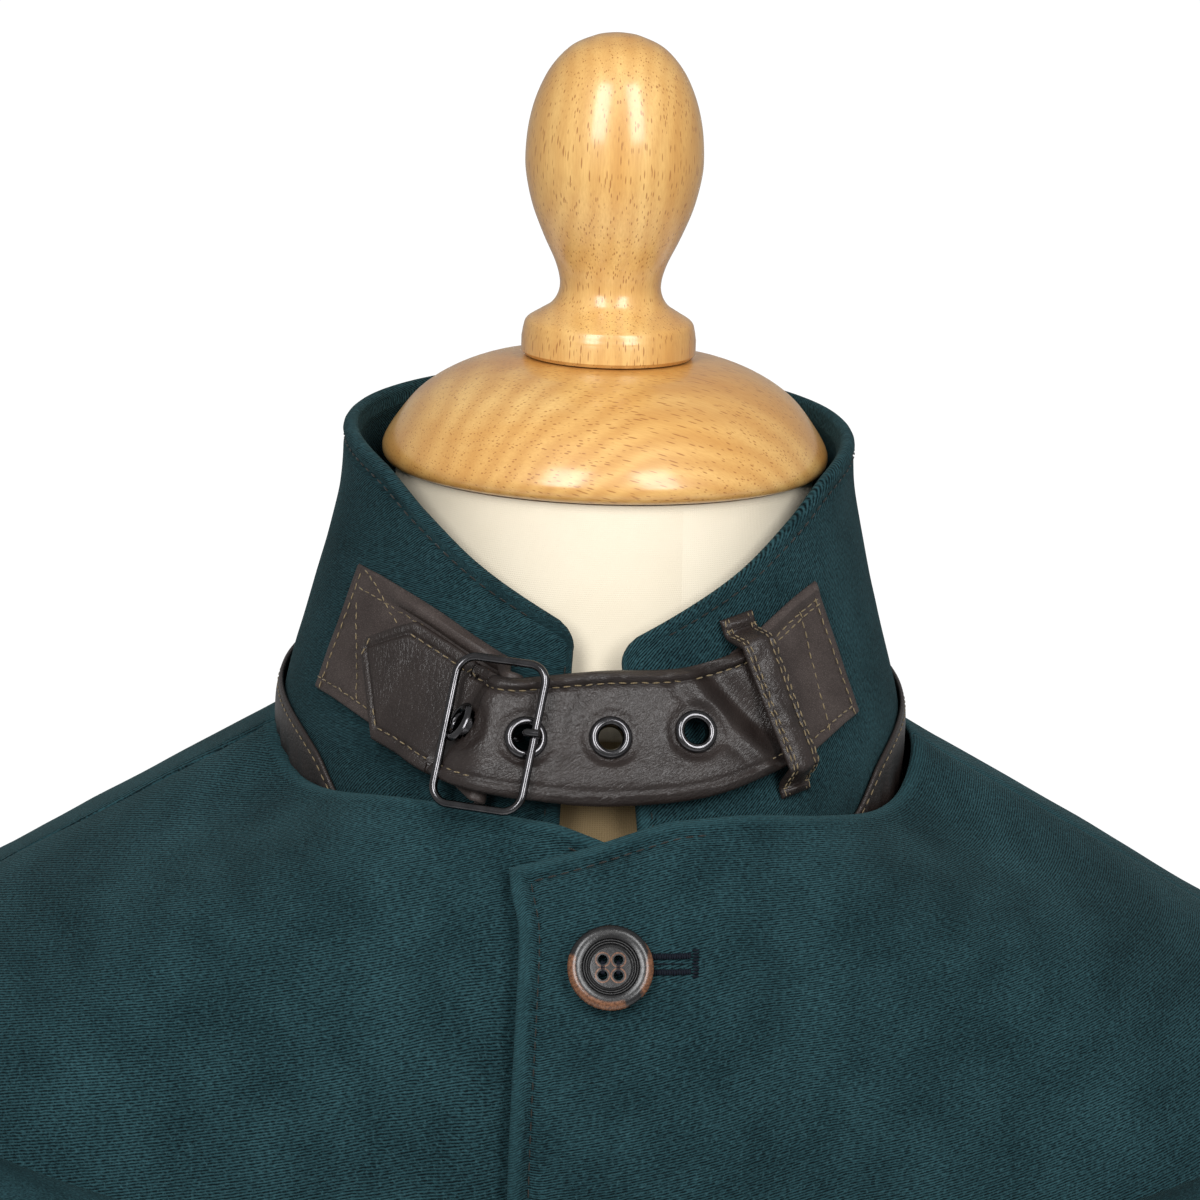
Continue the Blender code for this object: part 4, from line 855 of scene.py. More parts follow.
BEECH = beech("varnished_beech", 0.0, (0.9, 0.0, 1.5), 0.30)
CAP_BEECH = beech("varnished_beech_across", math.radians(76), (0.018, 0.0, 1.478), 0.45)


# ------------ pieces
def belongs(obj, slot, *nodes):
    """obj is a piece of the jacket or the form, in place of these CAD nodes."""
    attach(obj, "root")
    if nodes:
        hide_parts(*nodes)
    return obj


def keep(name, bm, material, sharp=50.0):
    mesh = bpy.data.meshes.new(name)
    bm.to_mesh(mesh)
    bm.free()
    mesh.shade_smooth()
    mesh.set_sharp_from_angle(angle=math.radians(sharp))
    mesh.materials.append(material)
    obj = bpy.data.objects.new(name, mesh)
    bpy.context.collection.objects.link(obj)
    return obj


EDGE_STEPS = (0.0, 0.10, 0.34, 0.68, 1.0)


def shares(count, length, half, lean=1.0):
    """Shares from 0 to 1 of a length, close together at both ends so that the edges can be rounded.
    lean: over 1, the first shares are closer than the last."""
    near = [half * step / length for step in EDGE_STEPS]
    far = [1 - share for share in reversed(near)]
    inner = [mix(near[-1], far[0], (i / count) ** lean) for i in range(1, count)]
    return near + inner + far


def laid(us, vs, place):
    """The points of place(u, v), as rows of columns."""
    return np.array([[place(u, v)[:] for u in us] for v in vs])


def travelled(points, axis):
    """How far each point is along its row (axis 1) or column (axis 0), from the first one."""
    steps = np.linalg.norm(np.diff(points, axis=axis), axis=2)
    start = np.zeros_like(np.take(steps, [0], axis=axis))
    return np.concatenate([start, np.cumsum(steps, axis=axis)], axis=axis)


def edge_distance(points, tube=False):
    """Each point's distance from the nearest edge of its sheet."""
    down = travelled(points, 0)
    near = np.minimum(down, to_far_edge(down, 0))
    if tube:
        return near
    across = travelled(points, 1)
    return np.minimum(near, np.minimum(across, to_far_edge(across, 1)))


def normals(points, outward):
    """Unit normals of a laid sheet, on the side that outward(point) says at its middle."""
    across = np.gradient(points, axis=1)
    down = np.gradient(points, axis=0)
    normal = np.cross(across, down)
    normal /= np.linalg.norm(normal, axis=2, keepdims=True) + 1e-12
    row, column = points.shape[0] // 2, points.shape[1] // 2
    sign = np.dot(normal[row, column], np.array(outward(Vector(points[row, column]))[:]))
    return normal if sign > 0 else -normal


def from_axis(point):
    return Vector((point.x, point.y, 0))


def soft_folds(points, folds, axes):
    """Troughs and ridges.  Each runs from one place to another, seen along the third axis."""
    flat = points[:, :, axes]
    total = np.zeros(points.shape[:2])
    for fold in folds:
        start, end = np.array(fold["from"]), np.array(fold["to"])
        line = end - start
        share = np.clip(((flat - start) @ line) / (line @ line), 0, 1)
        side = np.array((-line[1], line[0])) / np.linalg.norm(line)
        bow = side * fold["bow"] * np.sin(np.pi * share)[..., None]
        bowed = start + share[..., None] * line + bow
        away = np.linalg.norm(flat - bowed, axis=2)
        fade = np.sin(np.pi * np.clip(share, 0.04, 0.96)) ** 0.7
        total += fold["high"] * fade * np.exp(-(away / fold["wide"]) ** 2)
    return total


def ripple(points, size, high, seed=0.0):
    """Low uneven swells of about this size."""
    lift = np.zeros(points.shape[:2])
    for row in range(points.shape[0]):
        for column in range(points.shape[1]):
            spot = Vector(points[row, column]) / size + Vector((seed, seed * 0.7, -seed))
            lift[row, column] = noise.noise(spot)
    return lift * high


def ridge(edge, at, wide, high):
    """A rounded ridge at a distance from the edge."""
    return high * np.exp(-((edge - at) / wide) ** 2)


def groove(edge, at, wide, deep):
    """A stitch line's dent at a distance from the edge."""
    return ridge(edge, at, wide, -deep)


def rising(distance, start, length):
    """0 up to start, and 1 from length past it."""
    return np.clip((distance - start) / length, 0, 1)


def falling(distance, end, length):
    """1 until length before end, and 0 from end."""
    return np.clip((end - distance) / length, 0, 1)


def to_far_edge(distance, axis):
    """What is left of a travelled distance, up to the last row (axis 0) or column (axis 1)."""
    return np.take(distance, [-1], axis=axis) - distance


def counted_grid(points):
    """A grid for a laid sheet, whose corners hold their own column and row until they are placed."""
    rows, columns = points.shape[0] - 1, points.shape[1] - 1
    bm = bmesh.new()
    bmesh.ops.create_grid(bm, x_segments=columns, y_segments=rows, size=0.5)
    for vert in bm.verts:
        vert.co = (round((vert.co.x + 0.5) * columns), round((vert.co.y + 0.5) * rows), 0)
    return bm


def unroll(bm, across, down):
    """The cloth's own map of a counted grid: metres across and down."""
    uv = bm.loops.layers.uv.new("cloth")
    for face in bm.faces:
        for loop in face.loops:
            column, row = int(loop.vert.co.x), int(loop.vert.co.y)
            loop[uv].uv = (across[row, column], -down[row, column])


SHEARED = 1.5


def is_sheared(face):
    """A four-sided face whose one diagonal is much the longer, as beside the foot of an armhole."""
    if len(face.verts) != 4:
        return False
    a, b, c, d = (vert.co for vert in face.verts)
    first, second = (c - a).length, (d - b).length
    return max(first, second) > SHEARED * min(first, second)


def wall_piece(name, points, outward, thick, material, relief=None, hole=None, tube=False, round_to=None):
    """A closed wall with rounded edges: points is its outer face, and its inner face lies thick inside."""
    face_normals = normals(points, outward)
    edge = edge_distance(points, tube)
    half = thick / 2
    radius = round_to or half
    cap = np.sqrt(np.clip(1 - (1 - np.clip(edge / radius, 0, 1)) ** 2, 0.03, 1))[..., None]
    if relief is not None:
        points = points + face_normals * (relief * np.clip(edge / (radius * 2), 0, 1))[..., None]
    middle = points - face_normals * half
    outer, inner = middle + face_normals * half * cap, middle - face_normals * half * cap
    across, down = travelled(points, 1), travelled(points, 0)
    bm = counted_grid(points)
    if hole is not None:
        cut = []
        for face in bm.faces:
            at = face.calc_center_median()
            if hole(Vector(points[int(at.y), int(at.x)])):
                cut.append(face)
        bmesh.ops.delete(bm, geom=cut, context="FACES")
    unroll(bm, across, down)
    outside = list(bm.verts)
    made = bmesh.ops.extrude_face_region(bm, geom=bm.faces[:], use_keep_orig=True)["geom"]
    inside = [v for v in made if isinstance(v, bmesh.types.BMVert)]
    for verts, place in ((outside, outer), (inside, inner)):
        for vert in verts:
            vert.co = place[int(vert.co.y), int(vert.co.x)]
    if tube:
        bmesh.ops.remove_doubles(bm, verts=bm.verts, dist=2e-6)
    bmesh.ops.recalc_face_normals(bm, faces=bm.faces)
    sheared = [face for face in bm.faces if is_sheared(face)]
    bmesh.ops.triangulate(bm, faces=sheared, quad_method="SHORT_EDGE")
    return keep(name, bm, material)


def profile_through(rows, steps):
    """More points on the smooth curve through a turned profile."""
    out = []
    for i in range(len(rows) - 1):
        near = [min(max(k, 0), len(rows) - 1) for k in range(i - 1, i + 3)]
        before, here, after, later = (Vector(rows[k]) for k in near)
        for step in range(steps):
            t = step / steps
            bend = (after - before) * t + (before * 2 - here * 5 + after * 4 - later) * t * t
            bend += (here * 3 - before - after * 3 + later) * t ** 3
            out.append(here + bend / 2)
    return out + [Vector(rows[-1])]


def turned(name, profile, segments, base, material, axis=(0, 0, 1)):
    """A turned piece.  profile: radius and height, from the middle of the foot to the middle of the top."""
    bm = bmesh.new()
    chain = [bm.verts.new((point[0], 0, point[1])) for point in profile]
    for low, high in zip(chain, chain[1:]):
        bm.edges.new((low, high))
    bmesh.ops.spin(bm, geom=bm.verts[:] + bm.edges[:], cent=(0, 0, 0), axis=(0, 0, 1), angle=math.tau,
                   steps=segments, use_merge=True)
    bmesh.ops.remove_doubles(bm, verts=bm.verts, dist=2e-6)
    uv = bm.loops.layers.uv.new("cloth")
    for face in bm.faces:
        for loop in face.loops:
            loop[uv].uv = (loop.vert.co.x, loop.vert.co.y)
    turn_to = Vector((0, 0, 1)).rotation_difference(Vector(axis)).to_matrix().to_4x4()
    bmesh.ops.transform(bm, matrix=Matrix.Translation(base) @ turn_to, verts=bm.verts)
    bmesh.ops.recalc_face_normals(bm, faces=bm.faces)
    return keep(name, bm, material, 40.0)


def wire(name, points, radius, material, cyclic):
    """Round wire through points."""
    curve = bpy.data.curves.new(name, "CURVE")
    curve.dimensions = "3D"
    curve.bevel_depth = radius
    curve.bevel_resolution = 5
    curve.use_fill_caps = True
    spline = curve.splines.new("POLY")
    spline.points.add(len(points) - 1)
    for spot, point in zip(spline.points, points):
        spot.co = (*point, 1.0)
    spline.use_cyclic_u = cyclic
    spline.use_smooth = True
    curve.materials.append(material)
    obj = bpy.data.objects.new(name, curve)
    bpy.context.collection.objects.link(obj)
    return obj


# ------------ sewing
def one_stitch(bm, start, end, outward, radius):
    """A stitch of thread between two places on a surface."""
    along = end - start
    length = along.length
    along.normalize()
    across = along.cross(outward).normalized()
    upward = across.cross(along).normalized()
    made = bmesh.ops.create_uvsphere(bm, u_segments=6, v_segments=4, radius=1.0)["verts"]
    turn = Matrix((across * radius, upward * radius, along * (length / 2))).transposed().to_4x4()
    bmesh.ops.transform(bm, matrix=Matrix.Translation((start + end) / 2) @ turn, verts=made)


def sewn(name, rows, material, slot, length=0.0024, gap=0.0008, radius=0.00022, sink=0.4, wander=0.0):
    """Stitches along rows of (point, outward)."""
    bm = bmesh.new()
    count = 0
    for row in rows:
        marks = [0.0]
        for before, after in zip(row, row[1:]):
            marks.append(marks[-1] + (after[0] - before[0]).length)

        def at(distance):
            k = max(i for i, mark in enumerate(marks[:-1]) if mark <= distance)
            share = (distance - marks[k]) / max(marks[k + 1] - marks[k], 1e-9)
            return row[k][0].lerp(row[k + 1][0], share), row[k][1].lerp(row[k + 1][1], share).normalized()

        start = gap / 2
        while start + length < marks[-1]:
            a, normal = at(start)
            b, _ = at(start + length)
            side = (b - a).cross(normal).normalized()
            slip = side * wander * noise.noise(Vector((count * 1.7, 0.3, 0.9)))
            drop = normal * radius * (1 - 2 * sink)
            one_stitch(bm, a + drop + slip, b + drop - slip * 0.5, normal, radius)
            start += length + gap
            count += 1
    return belongs(keep(name, bm, material, 80.0), slot)


# ------------ the body panels
# Soft troughs (high below 0) and ridges, from place to place as seen from the front or back: x and z.
FRONT_FOLDS = [
    {"from": (0.070, 1.405), "to": (0.165, 1.330), "wide": 0.016, "high": 0.0007, "bow": 0.006},
    {"from": (0.085, 1.385), "to": (0.150, 1.290), "wide": 0.013, "high": -0.0006, "bow": 0.005},
    {"from": (0.040, 1.395), "to": (0.075, 1.300), "wide": 0.018, "high": -0.0005, "bow": -0.004},
    {"from": (0.195, 1.215), "to": (0.090, 1.120), "wide": 0.014, "high": -0.0026, "bow": 0.010},
    {"from": (0.200, 1.190), "to": (0.120, 1.070), "wide": 0.013, "high": 0.0022, "bow": 0.008},
    {"from": (0.190, 1.150), "to": (0.085, 1.035), "wide": 0.012, "high": -0.0022, "bow": 0.012},
    {"from": (0.170, 1.040), "to": (0.060, 0.985), "wide": 0.011, "high": -0.0020, "bow": -0.008},
    {"from": (0.185, 1.000), "to": (0.080, 0.965), "wide": 0.010, "high": 0.0018, "bow": -0.006},
    {"from": (0.120, 0.930), "to": (0.100, 0.760), "wide": 0.022, "high": 0.0030, "bow": 0.006},
    {"from": (0.160, 0.900), "to": (0.155, 0.740), "wide": 0.018, "high": -0.0030, "bow": -0.005},
    {"from": (0.055, 0.880), "to": (0.060, 0.730), "wide": 0.020, "high": -0.0018, "bow": 0.004},
]
BACK_FOLDS = [
    {"from": (-0.060, 1.405), "to": (0.050, 1.400), "wide": 0.010, "high": -0.0014, "bow": -0.010},
    {"from": (0.170, 1.260), "to": (0.090, 1.150), "wide": 0.015, "high": -0.0026, "bow": 0.010},
    {"from": (-0.175, 1.250), "to": (-0.080, 1.130), "wide": 0.016, "high": -0.0024, "bow": -0.010},
    {"from": (0.150, 1.200), "to": (0.060, 1.060), "wide": 0.014, "high": 0.0020, "bow": 0.012},
    {"from": (-0.150, 1.190), "to": (-0.050, 1.070), "wide": 0.013, "high": 0.0022, "bow": -0.009},
    {"from": (-0.130, 1.030), "to": (0.110, 1.015), "wide": 0.012, "high": -0.0026, "bow": 0.010},
    {"from": (-0.090, 0.985), "to": (0.140, 0.995), "wide": 0.011, "high": 0.0020, "bow": 0.006},
    {"from": (-0.150, 0.960), "to": (0.040, 0.970), "wide": 0.010, "high": -0.0018, "bow": -0.007},
    {"from": (0.010, 0.930), "to": (0.000, 0.730), "wide": 0.026, "high": -0.0030, "bow": 0.004},
    {"from": (0.100, 0.900), "to": (0.120, 0.730), "wide": 0.022, "high": 0.0030, "bow": 0.005},
    {"from": (-0.105, 0.890), "to": (-0.125, 0.735), "wide": 0.023, "high": 0.0032, "bow": -0.005},
]
FOLD_DEPTH = 1.9
# The stitch lines' distances from the edges, and the dents that they pull into the cloth.
HEM_STITCH, FRONT_STITCH, COLLAR_STITCH = 0.0300, 0.0054, 0.0040
FRONT_DENT, FRONT_DENT_WIDE = 0.00085, 0.0010
HEM_DENT, HEM_DENT_WIDE = 0.0005, 0.0012
# The turned edge between the front's stitches and its edge, and the thinner one along the neckline.
EDGE_ROLL_AT, EDGE_ROLL_WIDE, EDGE_ROLL, TOP_ROLL = 0.0026, 0.0016, 0.00130, 0.0012
NECK_ROLL_AT, NECK_ROLL_WIDE, NECK_ROLL = 0.0030, 0.0022, 0.0006
TOP_STITCH_REACH, TOP_STITCH_FADE = 0.058, 0.012
# How the under front falls away beside the overlap's edge, and along its slanted top.
UNDER_HOLLOW, UNDER_HOLLOW_AT, UNDER_HOLLOW_WIDE = 0.0022, 0.0450, 0.0065
SLANT_HOLLOW, SLANT_HOLLOW_AT, SLANT_HOLLOW_WIDE = 0.0016, 0.0024, 0.0030
OVERLAP_FLARE = 0.08
UNDER_FOLD_RISE = 0.006


def panel_levels(shoulder, armhole, skirt):
    """The panels' rows, in metres below the neckline: close together at the top and round the armhole."""
    near = [FRONT_WALL / 2 * step for step in EDGE_STEPS]
    levels = near + [mix(near[-1], SHOULDER_TIP_DOWN, (i / shoulder) ** 1.35) for i in range(1, shoulder)]
    levels += [mix(SHOULDER_TIP_DOWN, UNDERARM_DOWN, (1 - math.cos(math.pi * i / armhole)) / 2)
               for i in range(armhole + 1)]
    levels += [mix(UNDERARM_DOWN, HEM_DOWN - near[-1], (i + 1) / skirt) for i in range(skirt)]
    return levels + [HEM_DOWN - step for step in reversed(near[:-1])]


NECK_DRAW = 0.030
NECK_RISE_RIGHT, NECK_RISE_LEFT = 0.0052, 0.0022


def drawn_to_neck(place, level):
    """The neckline lies closer to the collar at the shoulders than farther down."""
    turn = abs(math.degrees(math.atan2(place.x, -place.y)))
    near = NECK_DRAW * smooth((turn - 34) / 26) * (1 - smooth(level / 0.021))
    rise = NECK_RISE_RIGHT if place.x < 0 else NECK_RISE_LEFT
    rise *= math.sin(math.radians(min(turn, 90.0) * 2)) ** 2 * (1 - smooth(level / 0.05))
    return Vector((place.x * (1 - near), place.y * (1 - near), place.z + rise))


def lift_at(x):
    """How far the upper front stands off the body, at a distance from the middle."""
    return OVERLAP_LIFT * (1 - smooth((x - 1.25 * OVERLAP_TOP) / OVERLAP_EASE))


def front_place(share, level, side):
    """The front's outer surface.  share: 0 at its edge, 1 at the shoulder or side seam."""
    over = side > 0
    edge_x = -overlap_at(level) * ((1.0 + OVERLAP_FLARE * smooth(level / 0.03)) if over else 0.9)
    seam = seam_turn(level, ARMHOLE_CUT_FRONT)
    if seam == 90.0:
        seam -= seam_offset(level)
    turn = mix(turn_at_x(edge_x, level), seam, share)
    x = body_point(turn, level).x
    drop = CORNER_DROP * max((CORNER_START - x) / (CORNER_START + OVERLAP_TOP), 0.0) ** 1.4
    down = level + drop * (1 - smooth(level / 0.03))
    lift = lift_at(x) if over else 0.0
    place = body_at(turn, down, lift) if lift else body_point(turn, down)
    place.x *= side
    return drawn_to_neck(place, level)


def mirrored(fold, side):
    """A fold of the left front, or its like on the right front."""
    (from_x, from_z), (to_x, to_z) = fold["from"], fold["to"]
    rise = UNDER_FOLD_RISE if side < 0 else 0
    return {"from": (side * from_x, from_z + rise), "to": (side * to_x, to_z), "wide": fold["wide"],
            "high": fold["high"], "bow": side * fold["bow"]}


def under_overlap(points, across, down):
    """The hollows of the under front: beside the overlap's edge, and along its slanted top."""
    x = points[:, :, 0]
    slope = np.clip((CORNER_START - x) / (CORNER_START + OVERLAP_TOP), 0, 1.1) ** 1.4
    above = points[:, :, 2] - (NECKLINE_Z - CORNER_DROP * slope)
    beside = np.clip((x + OVERLAP_TOP * 1.08 + 0.004) / 0.004, 0, 1) * falling(x, 0.004, 0.008)
    trough = groove(across, UNDER_HOLLOW_AT, UNDER_HOLLOW_WIDE, UNDER_HOLLOW) * rising(down, 0.012, 0.01)
    return trough, groove(above, SLANT_HOLLOW_AT, SLANT_HOLLOW_WIDE, SLANT_HOLLOW) * beside


def make_front(name, side):
    us = shares(104, 0.25, FRONT_WALL / 2, lean=1.45)
    levels = panel_levels(shoulder=46, armhole=44, skirt=64)
    points = laid(us, levels, lambda u, level: front_place(u, level, side))
    folds = [mirrored(fold, side) for fold in FRONT_FOLDS]
    across, down = travelled(points, 1), travelled(points, 0)
    relief = soft_folds(points, folds, [0, 2]) * FOLD_DEPTH + ripple(points, 0.055, 0.0009, 3.0 * side)
    relief += (groove(across, FRONT_STITCH, FRONT_DENT_WIDE, FRONT_DENT)
               + ridge(across, EDGE_ROLL_AT, EDGE_ROLL_WIDE, EDGE_ROLL))
    near_edge = falling(across, TOP_STITCH_REACH, TOP_STITCH_FADE)
    relief += (groove(down, FRONT_STITCH, FRONT_DENT_WIDE, FRONT_DENT)
               + ridge(down, EDGE_ROLL_AT, EDGE_ROLL_WIDE, TOP_ROLL)) * near_edge
    relief += ridge(down, NECK_ROLL_AT, NECK_ROLL_WIDE, NECK_ROLL) * (1 - near_edge)
    if side < 0:
        for hollow in under_overlap(points, across, down):
            relief += hollow
    relief += groove(to_far_edge(down, 0), HEM_STITCH, HEM_DENT_WIDE, HEM_DENT)
    relief += ripple(points, 0.010, 0.00016, 7.0)
    cloth = MOLESKIN_LEFT if side > 0 else MOLESKIN
    obj = wall_piece(name, points, from_axis, FRONT_WALL, cloth, relief, round_to=0.0017)
    return belongs(obj, "moleskin", name), points


def make_back():
    us = shares(120, 0.45, BODY_WALL / 2)
    levels = panel_levels(shoulder=34, armhole=40, skirt=56)

    def place(u, level):
        seam = seam_turn(level, ARMHOLE_CUT_BACK)
        reach = 90.0 - seam_offset(level) if seam == 90.0 else seam
        return drawn_to_neck(body_point(180.0 - reach + 2 * reach * u, level), level)

    points = laid(us, levels, place)
    down = travelled(points, 0)
    relief = soft_folds(points, BACK_FOLDS, [0, 2]) * FOLD_DEPTH + ripple(points, 0.060, 0.0011, 11.0)
    relief += (groove(to_far_edge(down, 0), HEM_STITCH, HEM_DENT_WIDE, HEM_DENT)
               + ripple(points, 0.011, 0.00016, 17.0))
    obj = wall_piece("back", points, from_axis, BODY_WALL, MOLESKIN, relief, round_to=0.0015)
    return belongs(obj, "moleskin", "back"), points


# ------------ sleeves
# Troughs and ridges as on the body, but from place to place as seen from the side: y and z.
SLEEVE_FOLDS = [
    {"from": (-0.075, 1.120), "to": (0.040, 1.075), "wide": 0.011, "high": -0.0026, "bow": 0.006},
    {"from": (-0.078, 1.085), "to": (0.020, 1.050), "wide": 0.010, "high": 0.0020, "bow": 0.005},
    {"from": (-0.074, 1.050), "to": (0.045, 1.030), "wide": 0.011, "high": -0.0028, "bow": -0.004},
    {"from": (-0.070, 1.010), "to": (0.020, 1.000), "wide": 0.009, "high": 0.0016, "bow": -0.004},
    {"from": (0.070, 1.180), "to": (-0.020, 1.130), "wide": 0.013, "high": -0.0022, "bow": 0.008},
    {"from": (-0.082, 1.200), "to": (-0.020, 1.240), "wide": 0.012, "high": -0.0020, "bow": 0.006},
    {"from": (0.066, 0.960), "to": (-0.030, 0.930), "wide": 0.012, "high": -0.0018, "bow": 0.005},
    {"from": (-0.060, 0.880), "to": (0.030, 0.850), "wide": 0.013, "high": -0.0020, "bow": -0.006},
    {"from": (0.030, 0.830), "to": (-0.060, 0.800), "wide": 0.011, "high": 0.0016, "bow": -0.005},
]


def make_sleeve(name, side, first, last, columns):
    """A panel of one sleeve.  first, last: its two edges, in degrees round the arm."""
    us = shares(columns, math.radians(last - first) * 0.060, SLEEVE_WALL / 2)
    vs = [v ** 1.12 for v in shares(118, 0.62, SLEEVE_WALL / 2)]

    def place(u, v):
        point = sleeve_point(mix(first, last, u), v)
        point.x *= side
        return point

    points = laid(us, vs, place)
    folds = [dict(fold, high=fold["high"] * (1.0 if side > 0 else 0.9),
                  to=(fold["to"][0] + 0.006 * side, fold["to"][1])) for fold in SLEEVE_FOLDS]
    down = travelled(points, 0)
    swells = soft_folds(points, folds, [1, 2]) * FOLD_DEPTH + ripple(points, 0.045, 0.0010, 23.0 + side)
    relief = swells * rising(down, 0.06, 0.08)
    relief += (groove(to_far_edge(down, 0), HEM_STITCH, HEM_DENT_WIDE, HEM_DENT)
               + ripple(points, 0.010, 0.00014, 29.0))

    def outward(point):
        middle = Vector([through(SLEEVE_SECTIONS, "along", axis, 0.5) for axis in ("x", "y", "z")])
        return point - Vector((middle.x * side, middle.y, point.z))

    obj = wall_piece(name, points, outward, SLEEVE_WALL, MOLESKIN, relief, round_to=0.0014)
    return belongs(obj, "moleskin", name), points


# ------------ the collar and its leather band
def collar_edges(share):
    """The turns of the collar's two front edges at a share of its height."""
    right_x = mix(COLLAR_EDGE_RIGHT_LOW, COLLAR_EDGE_RIGHT_TOP, share)
    left_x = mix(COLLAR_EDGE_LEFT_LOW, COLLAR_EDGE_LEFT_TOP, share)
    half = COLLAR_SIDE + mix(0.0140, 0.0030, share)
    return math.degrees(math.asin(left_x / half)), 360 + math.degrees(math.asin(right_x / half))


COLLAR_LENGTH = 0.42


def collar_laid(u, v):
    """The collar's outer surface, its upper corners rounded."""
    left, right = collar_edges(v)
    turn = mix(left, right, u)
    inset = COLLAR_CORNER - min(min(u, 1 - u) * COLLAR_LENGTH, COLLAR_CORNER)
    dip = COLLAR_CORNER - math.sqrt(max(COLLAR_CORNER ** 2 - inset ** 2, 0.0))
    return collar_point(turn, mix(collar_base_z(turn), collar_rim_z(turn) - dip * 0.999, v))


def make_collar():
    us = shares(230, COLLAR_LENGTH, COLLAR_WALL / 2)
    vs = shares(46, 0.085, COLLAR_WALL / 2)
    points = laid(us, vs, collar_laid)
    across, down = travelled(points, 1), travelled(points, 0)
    from_rim, from_end = to_far_edge(down, 0), np.minimum(across, to_far_edge(across, 1))
    near = np.minimum(from_rim, from_end)
    relief = groove(near, COLLAR_STITCH, 0.0008, 0.00075) + ridge(near, 0.0020, 0.0012, 0.00045)
    relief += np.minimum(ripple(points, 0.030, 0.0007, 31.0), 0.0001) + ripple(points, 0.008, 0.00010, 37.0)
    obj = wall_piece("collar", points, from_axis, COLLAR_WALL, MOLESKIN_BIAS, relief)
    return belongs(obj, "moleskin", "collar"), points


BAND_END_DROP = 0.0045
BAND_STITCH = 0.0024


def band_place(u, v):
    """The band's outer surface, lower at its two front ends."""
    first = BAND_TOP[0]["turn"]
    turn = mix(first, 360 - first, u)
    bottom = collar_base_z(turn) + BAND_BASE_RISE
    end = 1 - smooth((fold_turn(turn) - first) / 9.0)
    top = max(through(BAND_TOP, "turn", "z", fold_turn(turn)) - BAND_END_DROP * end, bottom + 0.003)
    return collar_at(turn, mix(bottom, top, v), BAND_GAP + BAND_WALL)


def make_band():
    us = shares(240, 0.36, BAND_WALL / 2)
    vs = shares(26, 0.025, BAND_WALL / 2)
    points = laid(us, vs, band_place)
    down = travelled(points, 0)
    drawn = points * np.array((1.0, 1.0, 0.35))
    wrinkles = ripple(drawn, 0.0042, 0.0011, 41.0) * np.clip(1 - down / (down[-1:] * 0.9), 0.05, 1)
    relief = wrinkles + groove(to_far_edge(down, 0), 0.0026, 0.0005, 0.0002)
    obj = wall_piece("undercollar_band", points, from_axis, BAND_WALL, WRINKLED_LEATHER, relief)
    rows = [row_along(points, BAND_STITCH, 4)]
    sewn("band_stitches", rows, LEATHER_THREAD, "dark_leather", length=0.0022, gap=0.0009, radius=0.00020)
    return belongs(obj, "dark_leather", "undercollar_band")


def row_along(points, inset, every=1, last=True):
    """(point, normal) along a laid sheet's last or first row, at a distance inside it."""
    face_normals = normals(points, from_axis)
    down = travelled(points, 0)
    from_edge = down[-1:] - down if last else down
    row = []
    for column in range(0, points.shape[1], every):
        k = int(np.argmin(np.abs(from_edge[:, column] - inset)))
        other = k - 1 if from_edge[k, column] < inset else k + 1
        other = min(max(other, 0), points.shape[0] - 1)
        gap = from_edge[other, column] - from_edge[k, column]
        share = (inset - from_edge[k, column]) / gap if abs(gap) > 1e-9 else 0.0
        spot = points[k, column] * (1 - share) + points[other, column] * share
        row.append((Vector(spot), Vector(face_normals[k, column])))
    return row


def column_along(points, inset, every=1, last=False):
    """(point, normal) down a laid sheet's first or last column, at a distance inside it."""
    return row_along(points.transpose(1, 0, 2), inset, every, last)


# ------------ the strap's leather
LEATHER_DENT, LEATHER_DENT_WIDE = 0.0003, 0.0006


def ribbon_points(stations, top, low, rows):
    """Points across a strip of leather: top(i) and low(i) are its half widths at each station."""
    out = []
    for share in rows:
        out.append([(middle + upward * mix(-low(i), top(i), share))[:]
                    for i, (middle, _, upward) in enumerate(stations)])
    return np.array(out)


def strip_points(stations, half, rows):
    """Points across a strip of leather that is equally wide all along."""
    return ribbon_points(stations, lambda i: half, lambda i: half, rows)


def marks_of(stations):
    """How far each station is along its path."""
    marks = [0.0]
    for before, after in zip(stations, stations[1:]):
        marks.append(marks[-1] + (after[0] - before[0]).length)
    return marks


def rolled(distance, wide, high):
    """A rounded roll of leather along an edge."""
    share = np.clip(distance / wide, 0, 1)
    return high * np.sqrt(np.clip(1 - (2 * share - 1) ** 2, 0, 1))


STRAP_TOP_STITCH, STRAP_LOW_STITCH, STRAP_TIP_STITCH = 0.0036, 0.0034, 0.0022


